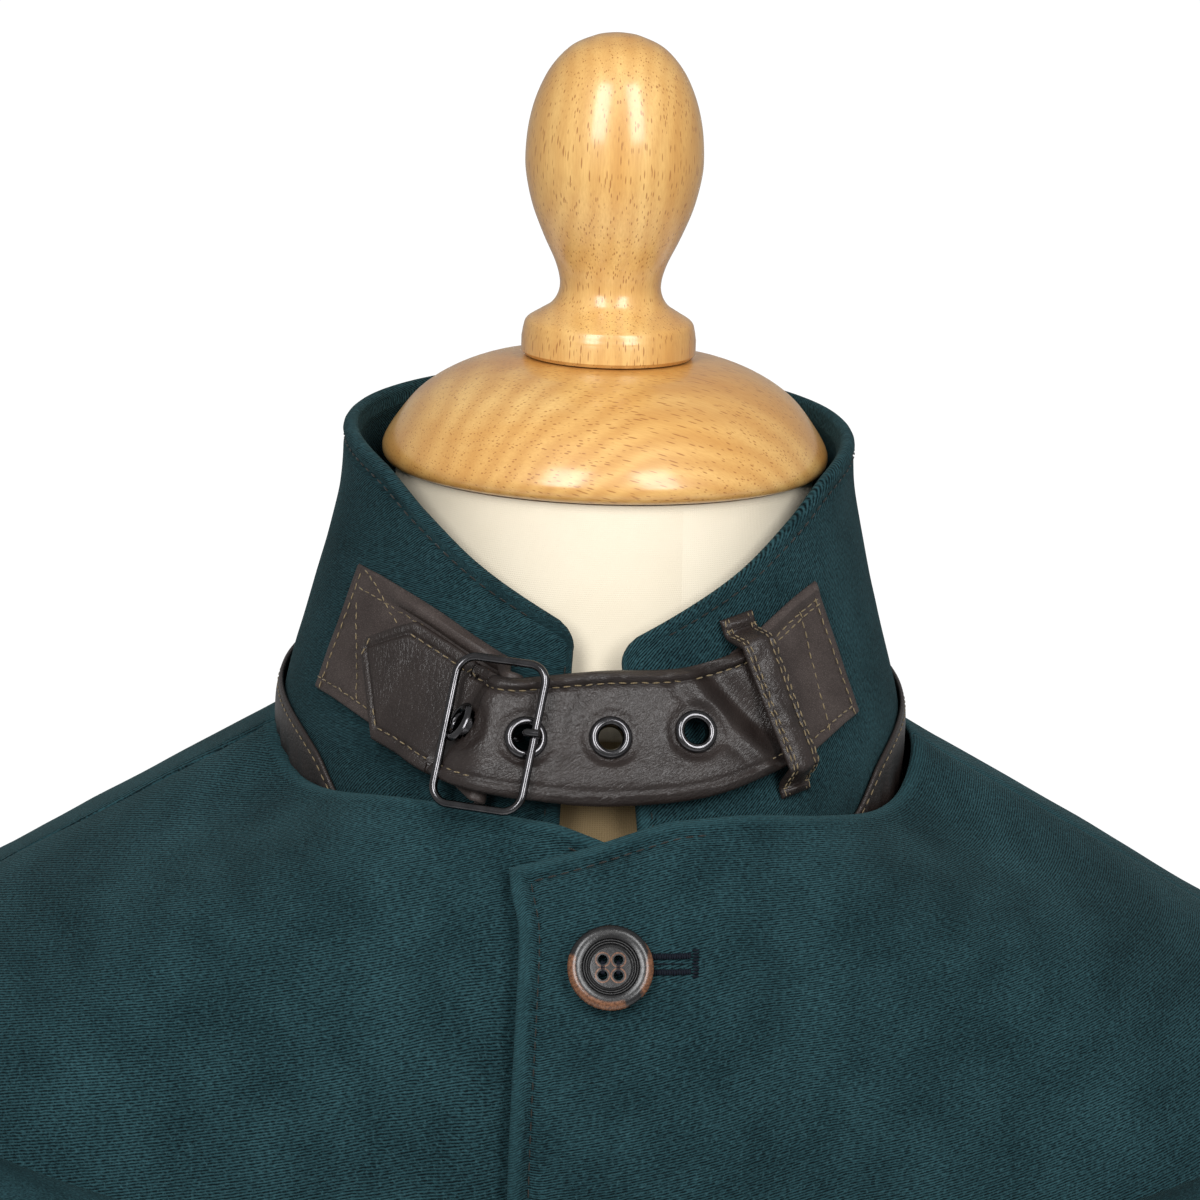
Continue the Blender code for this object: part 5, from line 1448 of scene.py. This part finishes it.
def make_strap():
    """The throat strap: rolled along both edges, wrinkled between its eyelets, bent under the keeper."""
    count = 210
    stations = path_stations(STRAP_PATH, count)
    marks = marks_of(stations)
    first, last = STRAP_PATH[0]["turn"], STRAP_PATH[-1]["turn"]

    def half(i):
        return through(STRAP_PATH, "turn", "half", mix(first, last, i / count))

    def top(i):
        return mix(STRAP_TIP_HALF + STRAP_TIP_RISE, half(i), min(marks[i] / STRAP_POINT, 1.0))

    def low(i):
        return mix(STRAP_TIP_HALF - STRAP_TIP_RISE, half(i), min(marks[i] / (STRAP_POINT * 1.30), 1.0))

    points = ribbon_points(stations, top, low, shares(62, 0.034, STRAP_WALL / 2))
    normal = normals(points, from_axis)
    points = points + normal * (STRAP_WALL / 2)
    down = travelled(points, 0)
    from_top, from_low = to_far_edge(down, 0), down
    along = np.array(marks)[None, :] / marks[-1]
    body = rising(along, 0.30, 0.08)
    relief = rolled(from_top, 0.0033, 0.00125) * body + groove(from_top, STRAP_TOP_STITCH, 0.0007, 0.0006)
    relief += groove(from_low, STRAP_LOW_STITCH, 0.0007, 0.0004) + rolled(from_low, 0.0026, 0.00035) * body
    relief += 0.0008 * np.sin(np.pi * np.clip(from_low / down[-1:], 0, 1)) * body
    relief += ridge(from_low, 0.0068, 0.0060, 0.0017) * rising(along, 0.36, 0.1)
    # Creases that fan out from the eyelets and end before the keeper.
    creased = rising(along, 0.34, 0.10) * falling(along, 0.80, 0.16)
    drawn = np.stack([points[:, :, 0] * 0.55 + points[:, :, 2] * 0.35, points[:, :, 1] * 0.5,
                      points[:, :, 2] - points[:, :, 0] * 0.25], axis=2)
    lines = np.abs(ripple(drawn, 0.0016, 1.0, 5.0)) * 0.6 + np.abs(ripple(drawn, 0.0034, 1.0, 9.0))
    relief -= 0.00028 * creased * np.clip(0.35 - lines, 0, 1) * 2.2
    relief += ripple(points, 0.022, 0.0005, 13.0) * body
    for fold in STRAP_FOLDS:
        at = marks[round((fold["turn"] - first) / (last - first) * count)]
        away = along * marks[-1] - at - fold["slant"] * (from_low - down[-1:] / 2)
        relief += ridge(away, 0.0, fold["wide"], fold["high"]) * body
    eyes = [along_collar(STRAP_PATH, turn)[:2] for turn in EYELET_TURNS.values()]
    for place, _ in eyes:
        away = np.linalg.norm(points - np.array(place[:]), axis=2)
        relief = relief * rising(away, 0.0052, 0.003)
        relief += groove(away, 0.0066, 0.0010, 0.00025)

    def in_hole(point):
        return any((point - place).length < EYELET_CUT for place, _ in eyes)

    obj = wall_piece("throat_strap", points, from_axis, STRAP_WALL, WRINKLED_LEATHER, relief, in_hole)
    lower = row_along(points, STRAP_LOW_STITCH, 3, last=False)
    upper = row_along(points, STRAP_TOP_STITCH, 3)
    tip = int(0.10 * count / 3)
    rows = [lower[tip:], upper[tip:], column_along(points, STRAP_TIP_STITCH, 5)]
    sewn("strap_stitches", rows, LEATHER_THREAD, "dark_leather", length=0.0021, gap=0.0008, radius=0.00022,
         wander=0.0004)
    return belongs(obj, "dark_leather", "throat_strap"), points


# Bends of the strap: the turn that each crosses at its middle, and its slant as it runs down.
STRAP_FOLDS = [
    {"turn": 26.0, "slant": -0.42, "wide": 0.0050, "high": -0.0034},
    {"turn": 20.8, "slant": -0.45, "wide": 0.0030, "high": 0.0010},
    {"turn": 17.5, "slant": -0.60, "wide": 0.0022, "high": -0.0006},
    {"turn": -8.5, "slant": 0.45, "wide": 0.0022, "high": -0.0006},
    {"turn": -11.5, "slant": 0.30, "wide": 0.0018, "high": -0.0005},
]


TAB_STITCH = 0.0030
TAB_COLUMNS = 96


def make_tab():
    """The buckle's tab, sewn flat on the collar with a thick rolled upper edge, folded round the bar."""
    stations = path_stations(TAB_PATH, TAB_COLUMNS)
    middle, along, outward, upward = bar_frame()
    radius = BUCKLE_WIRE + SEAM_GAP + PATCH_WALL / 2
    for i in range(22):
        angle = math.radians(110 - i * 10.2)
        ray = along * math.cos(angle) + outward * math.sin(angle)
        stations.append((middle + ray * radius, ray, upward))
    points = strip_points(stations, TAB_HALF, shares(44, 0.035, PATCH_WALL / 2))
    marks = marks_of(stations)
    flat = np.array([o[:] for _, o, _ in stations])[None, :, :]
    points = points + flat * (PATCH_WALL / 2)
    down = travelled(points, 0)
    from_top, from_low = to_far_edge(down, 0), down
    from_end = np.array(marks)[None, :]
    roll = rising(from_end, 0.012, 0.012) * falling(from_end, marks[TAB_COLUMNS + 1], 0.006)
    relief = rolled(from_top, 0.0044, 0.0020) * roll
    relief = relief + groove(from_low, TAB_STITCH, LEATHER_DENT_WIDE, LEATHER_DENT)
    relief += (groove(from_end + 0 * down, TAB_STITCH, LEATHER_DENT_WIDE, LEATHER_DENT)
               + ripple(points, 0.008, 0.00035, 47.0))

    def in_slot(point):
        return (point - middle).length < 0.0030

    obj = wall_piece("buckle_tab", points, from_axis, PATCH_WALL, LEATHER, relief, in_slot)
    sewn_down = points[:, :TAB_COLUMNS + 2]
    rows = [row_along(sewn_down, TAB_STITCH, 3, last=False), column_along(sewn_down, TAB_STITCH, 2),
            slanted(sewn_down, (0.0052, 0.72), (0.0200, 0.14)),
            slanted(sewn_down, (0.0040, 0.94), (0.0230, 0.72)),
            row_along(points[:, 8:92], 0.0056, 3)]
    sewn("tab_stitches", rows, LEATHER_THREAD, "dark_leather", length=0.0021, gap=0.0007, radius=0.00021,
         wander=0.0007)
    return belongs(obj, "dark_leather", "buckle_tab")


def slanted(points, start, end, steps=24):
    """A row across a strip from start to end, each (metres along, share of the width)."""
    face_normals = normals(points, from_axis)
    along = travelled(points, 1)
    rows = points.shape[0] - 1
    out = []
    for i in range(steps + 1):
        distance, height = mix(start[0], end[0], i / steps), mix(start[1], end[1], i / steps)
        row = round(height * rows)
        column = int(np.argmin(np.abs(along[row] - distance)))
        out.append((Vector(points[row, column]), Vector(face_normals[row, column])))
    return out


PATCH_STITCH = 0.0028
# How far the patch's upper front corner is drawn out of the square: along the strap and upwards.
PATCH_ONWARD, PATCH_UPWARD = 0.0044, 0.0022


def make_patch():
    """The anchor patch, its far upper corner drawn out and its upper edge rolled."""
    stations = path_stations(PATCH_PATH, 60)
    points = strip_points(stations, PATCH_HALF, shares(44, 0.034, PATCH_WALL / 2))
    onward, upward = (stations[-1][0] - stations[-2][0]).normalized(), stations[-1][2]
    pulled = np.array((onward * PATCH_ONWARD + upward * PATCH_UPWARD)[:])
    for row in range(points.shape[0]):
        for column in range(points.shape[1]):
            height = row / (points.shape[0] - 1)
            points[row, column] += pulled * height * smooth(column / (points.shape[1] - 1))
    points = points + normals(points, from_axis) * (PATCH_WALL / 2)
    across, down = travelled(points, 1), travelled(points, 0)
    from_top = to_far_edge(down, 0)
    relief = groove(np.minimum(down, from_top), PATCH_STITCH, LEATHER_DENT_WIDE, LEATHER_DENT)
    relief += rolled(from_top, 0.0036, 0.0013)
    relief += (groove(to_far_edge(across, 1), PATCH_STITCH, LEATHER_DENT_WIDE, LEATHER_DENT)
               + ripple(points, 0.009, 0.0003, 53.0))
    obj = wall_piece("anchor_patch", points, from_axis, PATCH_WALL, LEATHER, relief)
    length = float(across[0, -1])
    rows = [row_along(points, PATCH_STITCH, 2, last=False), row_along(points, 0.0044, 2),
            row_along(points, 0.0058, 2), column_along(points, PATCH_STITCH, 2, last=True),
            slanted(points, (length - 0.0035, 0.92), (length - 0.0150, 0.08))]
    sewn("patch_stitches", rows, LEATHER_THREAD, "dark_leather", length=0.0021, gap=0.0007, radius=0.00021,
         wander=0.0005)
    return belongs(obj, "dark_leather", "anchor_patch")


KEEPER_STITCH = 0.0020


def make_keeper():
    """The slanted keeper over the strap, its ends turned down and folded under."""
    steps = 120
    stations = []
    for i in range(steps + 1):
        share = mix(-0.09, 1.05, i / steps)
        turn = mix(KEEPER_TOP["turn"], KEEPER_LOW["turn"], share)
        z = mix(KEEPER_TOP["z"], KEEPER_LOW["z"], share)
        ends = smooth(min(share, 1 - share) / 0.11)
        out = mix(KEEPER_FOOT_OUT, KEEPER_OUT, ends) + KEEPER_WALL / 2
        stations.append((collar_at(turn, z, out), collar_normal(turn, z)))
    whole = stations[-1][0] - stations[0][0]
    placed = [(point, outward, outward.cross(whole).normalized()) for point, outward in stations]
    placed = [(p, o, a if a.x < 0 else -a) for p, o, a in placed]
    points = strip_points(placed, KEEPER_HALF, shares(16, 0.010, KEEPER_WALL / 2))
    across, along = travelled(points, 0), travelled(points, 1)
    near = np.minimum(across, to_far_edge(across, 0))
    relief = 0.0009 * np.sin(np.pi * across / across[-1:]) + groove(near, KEEPER_STITCH, 0.0005, 0.0005)
    end = np.minimum(along, to_far_edge(along, 1))
    relief += ridge(end, 0.0018, 0.0012, 0.0008) + ripple(points, 0.0036, 0.0005, 59.0)
    obj = wall_piece("keeper", points, from_axis, KEEPER_WALL, WRINKLED_LEATHER, relief)
    rows = [row_along(points, KEEPER_STITCH, 2), row_along(points, KEEPER_STITCH, 2, last=False)]
    rows += [row_along(points, 0.0008, 2), row_along(points, 0.0009, 2, last=False)]
    rows += [column_along(points, 0.0034, 1), column_along(points, 0.0028, 1, last=True)]
    rows = [[(point + normal * 0.0003, normal) for point, normal in row] for row in rows]
    sewn("keeper_stitches", rows, LEATHER_THREAD, "dark_leather", length=0.0019, gap=0.0006, radius=0.00021,
         wander=0.0007)
    return belongs(obj, "dark_leather", "keeper")


# ------------ metal
# How far the buckle's frame is turned about its bar's middle.
FRAME_TURN = 5.5


def make_buckle():
    """The frame, the centre bar, and the prong that is hooked round the bar."""
    middle, along, outward, upward = bar_frame()
    leaned = Matrix.Rotation(math.radians(FRAME_TURN), 3, outward)

    def place(a, u):
        share = (a + BUCKLE_LEFT) / (BUCKLE_LEFT + BUCKLE_RIGHT)
        spot = along * a + upward * u + outward * mix(BUCKLE_LEFT_OUT, BUCKLE_RIGHT_OUT, share)
        return middle + leaned @ spot

    corners = [
        (BUCKLE_RIGHT, BUCKLE_HALF, 0.0), (-BUCKLE_LEFT, BUCKLE_HALF, 90.0),
        (-BUCKLE_LEFT, -BUCKLE_HALF, 180.0), (BUCKLE_RIGHT, -BUCKLE_HALF, 270.0),
    ]
    line = []
    for a, u, start in corners:
        centre_a, centre_u = a - math.copysign(BUCKLE_CORNER, a), u - math.copysign(BUCKLE_CORNER, u)
        for i in range(13):
            angle = math.radians(start + i * 7.5)
            line.append(place(centre_a + BUCKLE_CORNER * math.cos(angle),
                              centre_u + BUCKLE_CORNER * math.sin(angle)))
    belongs(wire("buckle_frame", line, BUCKLE_WIRE, GUNMETAL, True), "gunmetal", "buckle_frame")
    reach = BUCKLE_HALF - BUCKLE_WIRE * 2 - SEAM_GAP
    bar = [middle + upward * mix(-reach, reach, i / 12) for i in range(13)]
    belongs(wire("buckle_bar", bar, BUCKLE_WIRE, GUNMETAL, False), "gunmetal", "buckle_bar")
    eye = BUCKLE_WIRE + SEAM_GAP + PRONG_WIRE
    points = []
    for i in range(25):
        angle = math.radians(60 + i * 11)
        points.append(middle + (along * math.cos(angle) + outward * math.sin(angle)) * eye)
    path = [Vector(row) for row in PRONG_PATH]
    points += [middle + along * p.x + outward * p.y + upward * p.z for p in profile_through(path, 5)]
    belongs(wire("buckle_prong", points, PRONG_WIRE, GUNMETAL, False), "gunmetal", "buckle_prong")


# An eyelet's wall: radius and height over the strap's middle.
EYELET_PROFILE = [
    (0.0031, -0.0010), (0.0036, -0.0010), (0.0037, 0.0012), (0.0054, 0.0013), (0.0056, 0.0015),
    (0.0054, 0.0019), (0.0049, 0.0023), (0.0043, 0.0025), (0.0037, 0.0023), (0.0033, 0.0018),
    (0.0031, 0.0010), (0.0031, -0.0010),
]


def make_eyelets():
    for name, turn in EYELET_TURNS.items():
        place, outward, _ = along_collar(STRAP_PATH, turn)
        lift = EYELET_1_LIFT if name == "eyelet_1" else 0.0
        obj = turned(name, EYELET_PROFILE, 48, place + outward * lift, GUNMETAL, outward)
        belongs(obj, "gunmetal", name)


# ------------ buttons and buttonholes
# The button's face: a smooth rim, three fine turned rings and a sunk middle.
BUTTON_FACE = [
    (0.0000, 0.0000), (0.0070, 0.0000), (0.0094, 0.0008), (0.0107, 0.0020), (0.0110, 0.0028),
    (0.0107, 0.0036), (0.0099, 0.0042), (0.0090, 0.0044), (0.0081, 0.0043), (0.0074, 0.0040),
    (0.0072, 0.0036), (0.0070, 0.0039), (0.0068, 0.0039), (0.0066, 0.0034), (0.0064, 0.0037),
    (0.0062, 0.0037), (0.0060, 0.0032), (0.0058, 0.0034), (0.0055, 0.0033), (0.0052, 0.0029),
    (0.0040, 0.0028), (0.0000, 0.0028),
]
BUTTON_SHIFT = Vector((-0.0015, 0.0, -0.0015))
BUTTON_DRILL = 0.00125
BUTTONHOLE_LENGTH, BUTTONHOLE_START, WHIP_STEP = 0.0195, 0.0030, 0.00062


def drilled(obj):
    """Four holes through a button that lies flat at the origin."""
    bm = bmesh.new()
    for row in (-1, 1):
        for column in (-1, 1):
            shift = Matrix.Translation((column * BUTTON_HOLE_SPREAD, row * BUTTON_HOLE_SPREAD, 0.002))
            bmesh.ops.create_cone(bm, cap_ends=True, segments=20, radius1=BUTTON_DRILL,
                                  radius2=BUTTON_DRILL, depth=0.012, matrix=shift)
    tool = keep("button_drill", bm, HORN)
    cut = obj.modifiers.new("holes", "BOOLEAN")
    cut.operation, cut.solver, cut.object = "DIFFERENCE", "EXACT", tool
    bpy.context.view_layer.update()
    done = bpy.data.meshes.new_from_object(obj.evaluated_get(bpy.context.evaluated_depsgraph_get()))
    bpy.data.objects.remove(tool)
    bpy.data.objects.remove(obj)
    return done


def make_buttons():
    face = drilled(turned("button_blank", BUTTON_FACE, 72, Vector((0, 0, 0)), HORN))
    for i in range(BUTTON_COUNT):
        down = NECKLINE_Z - (BUTTON_TOP_Z - i * BUTTON_STEP)
        turn = turn_at_x(BUTTON_INSET - overlap_at(down), down)
        outward = body_normal(turn, down)
        place = body_at(turn, down, OVERLAP_LIFT + BUTTON_STAND) + BUTTON_SHIFT
        across = Vector((0, 0, 1)).cross(outward).normalized()
        upward = outward.cross(across).normalized()
        spin = Matrix.Rotation(math.radians(i * 17.0), 4, "Z") if i else Matrix()
        turn_to = Matrix((across, upward, outward)).transposed().to_4x4()
        bm = bmesh.new()
        bm.from_mesh(face)
        bmesh.ops.transform(bm, matrix=Matrix.Translation(place) @ turn_to @ spin, verts=bm.verts)
        name = f"button_{i + 1}"
        belongs(keep(name, bm, HORN, 35.0), "burnished_horn", name)
        held = turn_to.to_3x3() @ spin.to_3x3()
        sew = bmesh.new()
        for side in (-1, 1):
            for strand in (-1, 0, 1):
                x = side * BUTTON_HOLE_SPREAD + strand * 0.00035
                a, b = (held @ Vector((x, y * BUTTON_HOLE_SPREAD, 0.0026)) + place for y in (-1, 1))
                one_stitch(sew, a, b, outward, 0.00030)
        low = place - outward * 0.0030
        for strand in (-1, 0, 1):
            one_stitch(sew, low + across * 0.0006 * strand, place + across * 0.0006 * -strand, across,
                       0.0005)
        belongs(keep(f"button_thread_{i + 1}", sew, HOLE_THREAD, 80.0), "moleskin")
        make_buttonhole(f"buttonhole_{i + 1}", down, turn)


def make_buttonhole(name, down, turn):
    """Whipped stitches on both sides of the slit, and a bar at its inner end."""
    bm = bmesh.new()
    start_x = BUTTON_INSET - overlap_at(down) + BUTTONHOLE_START

    def spot(x, rise):
        return body_at(turn_at_x(x, down - rise), down - rise, lift_at(x) + 0.0004)

    outward = body_normal(turn, down)
    count = int((BUTTONHOLE_LENGTH - BUTTONHOLE_START) / WHIP_STEP)
    for i in range(count):
        x = start_x + i * WHIP_STEP
        for side in (-1, 1):
            uneven = 0.0002 * noise.noise(Vector((i * 0.9, side * 2.0, down * 50)))
            outer = spot(x + 0.0001, side * (0.0026 + uneven))
            one_stitch(bm, spot(x, side * 0.0010), outer, outward, 0.00046)
    end_x = start_x + count * WHIP_STEP
    for i in range(9):
        rise = mix(-0.0030, 0.0030, i / 8)
        one_stitch(bm, spot(end_x, rise), spot(end_x + 0.0019, rise + 0.0001), outward, 0.00034)
    one_stitch(bm, spot(start_x, 0.0), spot(end_x, 0.0), outward, 0.00018)
    belongs(keep(name, bm, HOLE_THREAD, 80.0), "moleskin")


# ------------ topstitching on the cloth
def sew_cloth(left, right, back, collar):
    """The cloth's stitch lines: down the fronts' edges, round the hem, and round the collar."""
    fronts = []
    for points, reach in ((left, 0.062), (right, 0.040)):
        edge = column_along(points, FRONT_STITCH, 2)
        corner = next(i for i, (p, _) in enumerate(edge) if p.z < edge[0][0].z - FRONT_STITCH * 0.8)
        top = row_along(points, FRONT_STITCH, 1, last=False)
        across = travelled(points, 1)[8]
        stop = int(np.argmin(np.abs(across - reach)))
        begin = int(np.argmin(np.abs(across - FRONT_STITCH)))
        fronts += [edge[corner:], top[begin:stop]]
    sewn("front_stitches", fronts, CLOTH_THREAD, "moleskin", length=0.0024, gap=0.0010, radius=0.00022,
         sink=0.62)
    hems = [row_along(points, HEM_STITCH, 2) for points in (left, right, back)]
    sewn("hem_stitches", hems, CLOTH_THREAD, "moleskin", length=0.0030, gap=0.0030, radius=0.00018,
         sink=0.7)
    rim = row_along(collar, COLLAR_STITCH, 1)
    ends = [column_along(collar, COLLAR_STITCH, 1), column_along(collar, COLLAR_STITCH, 1, last=True)]
    rows = [rim[9:-9]] + [end[:-9] for end in ends]
    sewn("collar_stitches", rows, CLOTH_THREAD, "moleskin", length=0.0024, gap=0.0010, radius=0.00020,
         sink=0.62)


# ------------ the dress form and its stand
# The turn from centre front where the form's cloth is joined.
FORM_SEAM = 19.0
# From this row down, the form's calico keeps the neck's spacing of threads.
NECK_ROWS = 8


def make_form():
    turns = [FORM_SEAM + i * 3.0 for i in range(121)]

    def neck_ring(row):
        ring = []
        for turn in turns:
            angle = math.radians(turn)
            end = row["front"] if math.cos(angle) > 0 else row["back"]
            ring.append((row["side"] * math.sin(angle), -end * math.cos(angle), row["z"]))
        return ring

    tall = sorted(NECK_RINGS, key=lambda row: row["z"])
    heights = [mix(tall[-1]["z"], tall[0]["z"], i / 14) for i in range(15)]
    rings = [neck_ring(dict({key: through(tall, "z", key, z) for key in ("side", "front", "back")}, z=z))
             for z in heights]
    for row in FORM_RINGS:
        rings.append([body_at(turn, row["down"], -row["inside"])[:] for turn in turns])
    foot_z = min(p[2] for p in rings[-1]) - 0.008
    rings.append([(p[0] * 0.95, p[1] * 0.93, foot_z) for p in rings[-1]])
    points = np.array(rings)
    points[:, -1] = points[:, 0]
    across, down = travelled(points, 1), travelled(points, 0)
    across[NECK_ROWS:] = across[NECK_ROWS]
    bm = counted_grid(points)
    unroll(bm, across, down)
    for vert in bm.verts:
        vert.co = points[int(vert.co.y), int(vert.co.x)]
    bmesh.ops.remove_doubles(bm, verts=bm.verts, dist=2e-6)
    bmesh.ops.holes_fill(bm, edges=[e for e in bm.edges if e.is_boundary], sides=0)
    bmesh.ops.recalc_face_normals(bm, faces=bm.faces)
    belongs(keep("form_torso", bm, CALICO, 60.0), "calico", "form_torso")


def make_stand():
    """The turned cap and finial on the neck, and the pole and base below the form."""
    cap = CAP_PROFILE[:2] + profile_through(CAP_PROFILE[1:-1], 5) + [CAP_PROFILE[-1]]
    belongs(turned("neck_cap", cap, 128, Vector((0, 0, NECK_TOP_Z + SEAM_GAP)), CAP_BEECH),
            "varnished_beech", "neck_cap")
    cap_top = NECK_TOP_Z + SEAM_GAP + CAP_PROFILE[-1][1]
    egg = FINIAL_PROFILE[:4] + profile_through(FINIAL_PROFILE[4:-1], 6) + [FINIAL_PROFILE[-1]]
    belongs(turned("finial", egg, 96, Vector((0, 0, cap_top + SEAM_GAP)), BEECH), "varnished_beech",
            "finial")
    low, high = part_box("stand_pole")
    tall = high[2] - low[2]
    pole = [(0.0, 0.0), (POLE_RADIUS - POLE_BEVEL, 0.0), (POLE_RADIUS, POLE_BEVEL),
            (POLE_RADIUS, tall - POLE_BEVEL), (POLE_RADIUS - POLE_BEVEL, tall), (0.0, tall)]
    belongs(turned("stand_pole", pole, 64, Vector((0, 0, low[2])), BEECH), "varnished_beech", "stand_pole")
    belongs(turned("stand_base", BASE_PROFILE, 128, Vector((0, 0, 0)), BEECH), "varnished_beech",
            "stand_base")


# ------------ camera, light and floor
def set_camera():
    """The camera in front, a little above the collar and turned a little to its own side."""
    turn, rise, roll = (math.radians(a) for a in (CAMERA_TURN, CAMERA_RISE, CAMERA_ROLL))
    toward = Vector((math.sin(turn) * math.cos(rise), -math.cos(turn) * math.cos(rise), math.sin(rise)))
    right = Vector((0, 0, 1)).cross(toward).normalized()
    upward = toward.cross(right).normalized()
    rolled_right = right * math.cos(roll) + upward * math.sin(roll)
    rolled_up = upward * math.cos(roll) - right * math.sin(roll)
    lens = bpy.data.cameras.new("camera")
    lens.lens, lens.sensor_width = CAMERA_LENS, 36.0
    lens.clip_start, lens.clip_end = 0.05, 50.0
    camera = bpy.data.objects.new("camera", lens)
    camera.matrix_world = Matrix.Translation(LOOKS_AT + toward * CAMERA_AWAY) @ Matrix(
        (rolled_right, rolled_up, toward)).transposed().to_4x4()
    bpy.context.collection.objects.link(camera)
    bpy.context.scene.camera = camera


WORLD_LIGHT, SOFTBOX_WATTS = 0.32, 38.0


def softbox(name, place, aim, width, height, watts):
    """A rectangular lamp at a place, turned to what it lights."""
    light = bpy.data.lights.new(name, "AREA")
    light.shape, light.size, light.size_y, light.energy = "RECTANGLE", width, height, watts
    obj = bpy.data.objects.new(name, light)
    obj.location = place
    obj.rotation_euler = (Vector(aim) - Vector(place)).to_track_quat("-Z", "Y").to_euler()
    bpy.context.collection.objects.link(obj)
    return obj


def set_light():
    """White behind the jacket, a dimmer light all round, and two tall softboxes at the upper front."""
    world = bpy.data.worlds.new("studio")
    world.use_nodes = True
    tree = world.node_tree
    seen = node(tree, "ShaderNodeLightPath").outputs["Is Camera Ray"]
    lift = node(tree, "ShaderNodeMapRange", {"Value": seen, "To Min": WORLD_LIGHT, "To Max": 1.05})
    tree.nodes["Background"].inputs["Color"].default_value = (1.0, 1.0, 1.0, 1)
    tree.links.new(lift.outputs[0], tree.nodes["Background"].inputs["Strength"])
    bpy.context.scene.world = world
    softbox("softbox_left", (-0.82, -1.75, 2.60), LOOKS_AT, 0.70, 1.70, SOFTBOX_WATTS * 1.00)
    softbox("softbox_right", (0.88, -1.75, 2.60), LOOKS_AT, 0.70, 1.70, SOFTBOX_WATTS * 0.92)
    behind = softbox("fill_behind", (0.3, 3.4, 1.5), LOOKS_AT, 2.4, 1.8, SOFTBOX_WATTS * 4)
    behind.visible_glossy = False
    bm = bmesh.new()
    bmesh.ops.create_circle(bm, cap_ends=True, segments=96, radius=3.0)
    floor = keep("floor", bm, pale_floor())


# ------------ the whole scene
set_camera()
set_light()
front_left, left_points = make_front("front_left", 1)
front_right, right_points = make_front("front_right", -1)
back, back_points = make_back()
for label, side in (("left", 1), ("right", -1)):
    make_sleeve(f"top_sleeve_{label}", side, -120.0, 120.0, 74)
    make_sleeve(f"under_sleeve_{label}", side, 120.0, 240.0, 44)
collar, collar_points = make_collar()
make_band()
make_tab()
make_strap()
make_patch()
make_keeper()
make_buckle()
make_eyelets()
make_buttons()
sew_cloth(left_points, right_points, back_points, collar_points)
make_form()
make_stand()
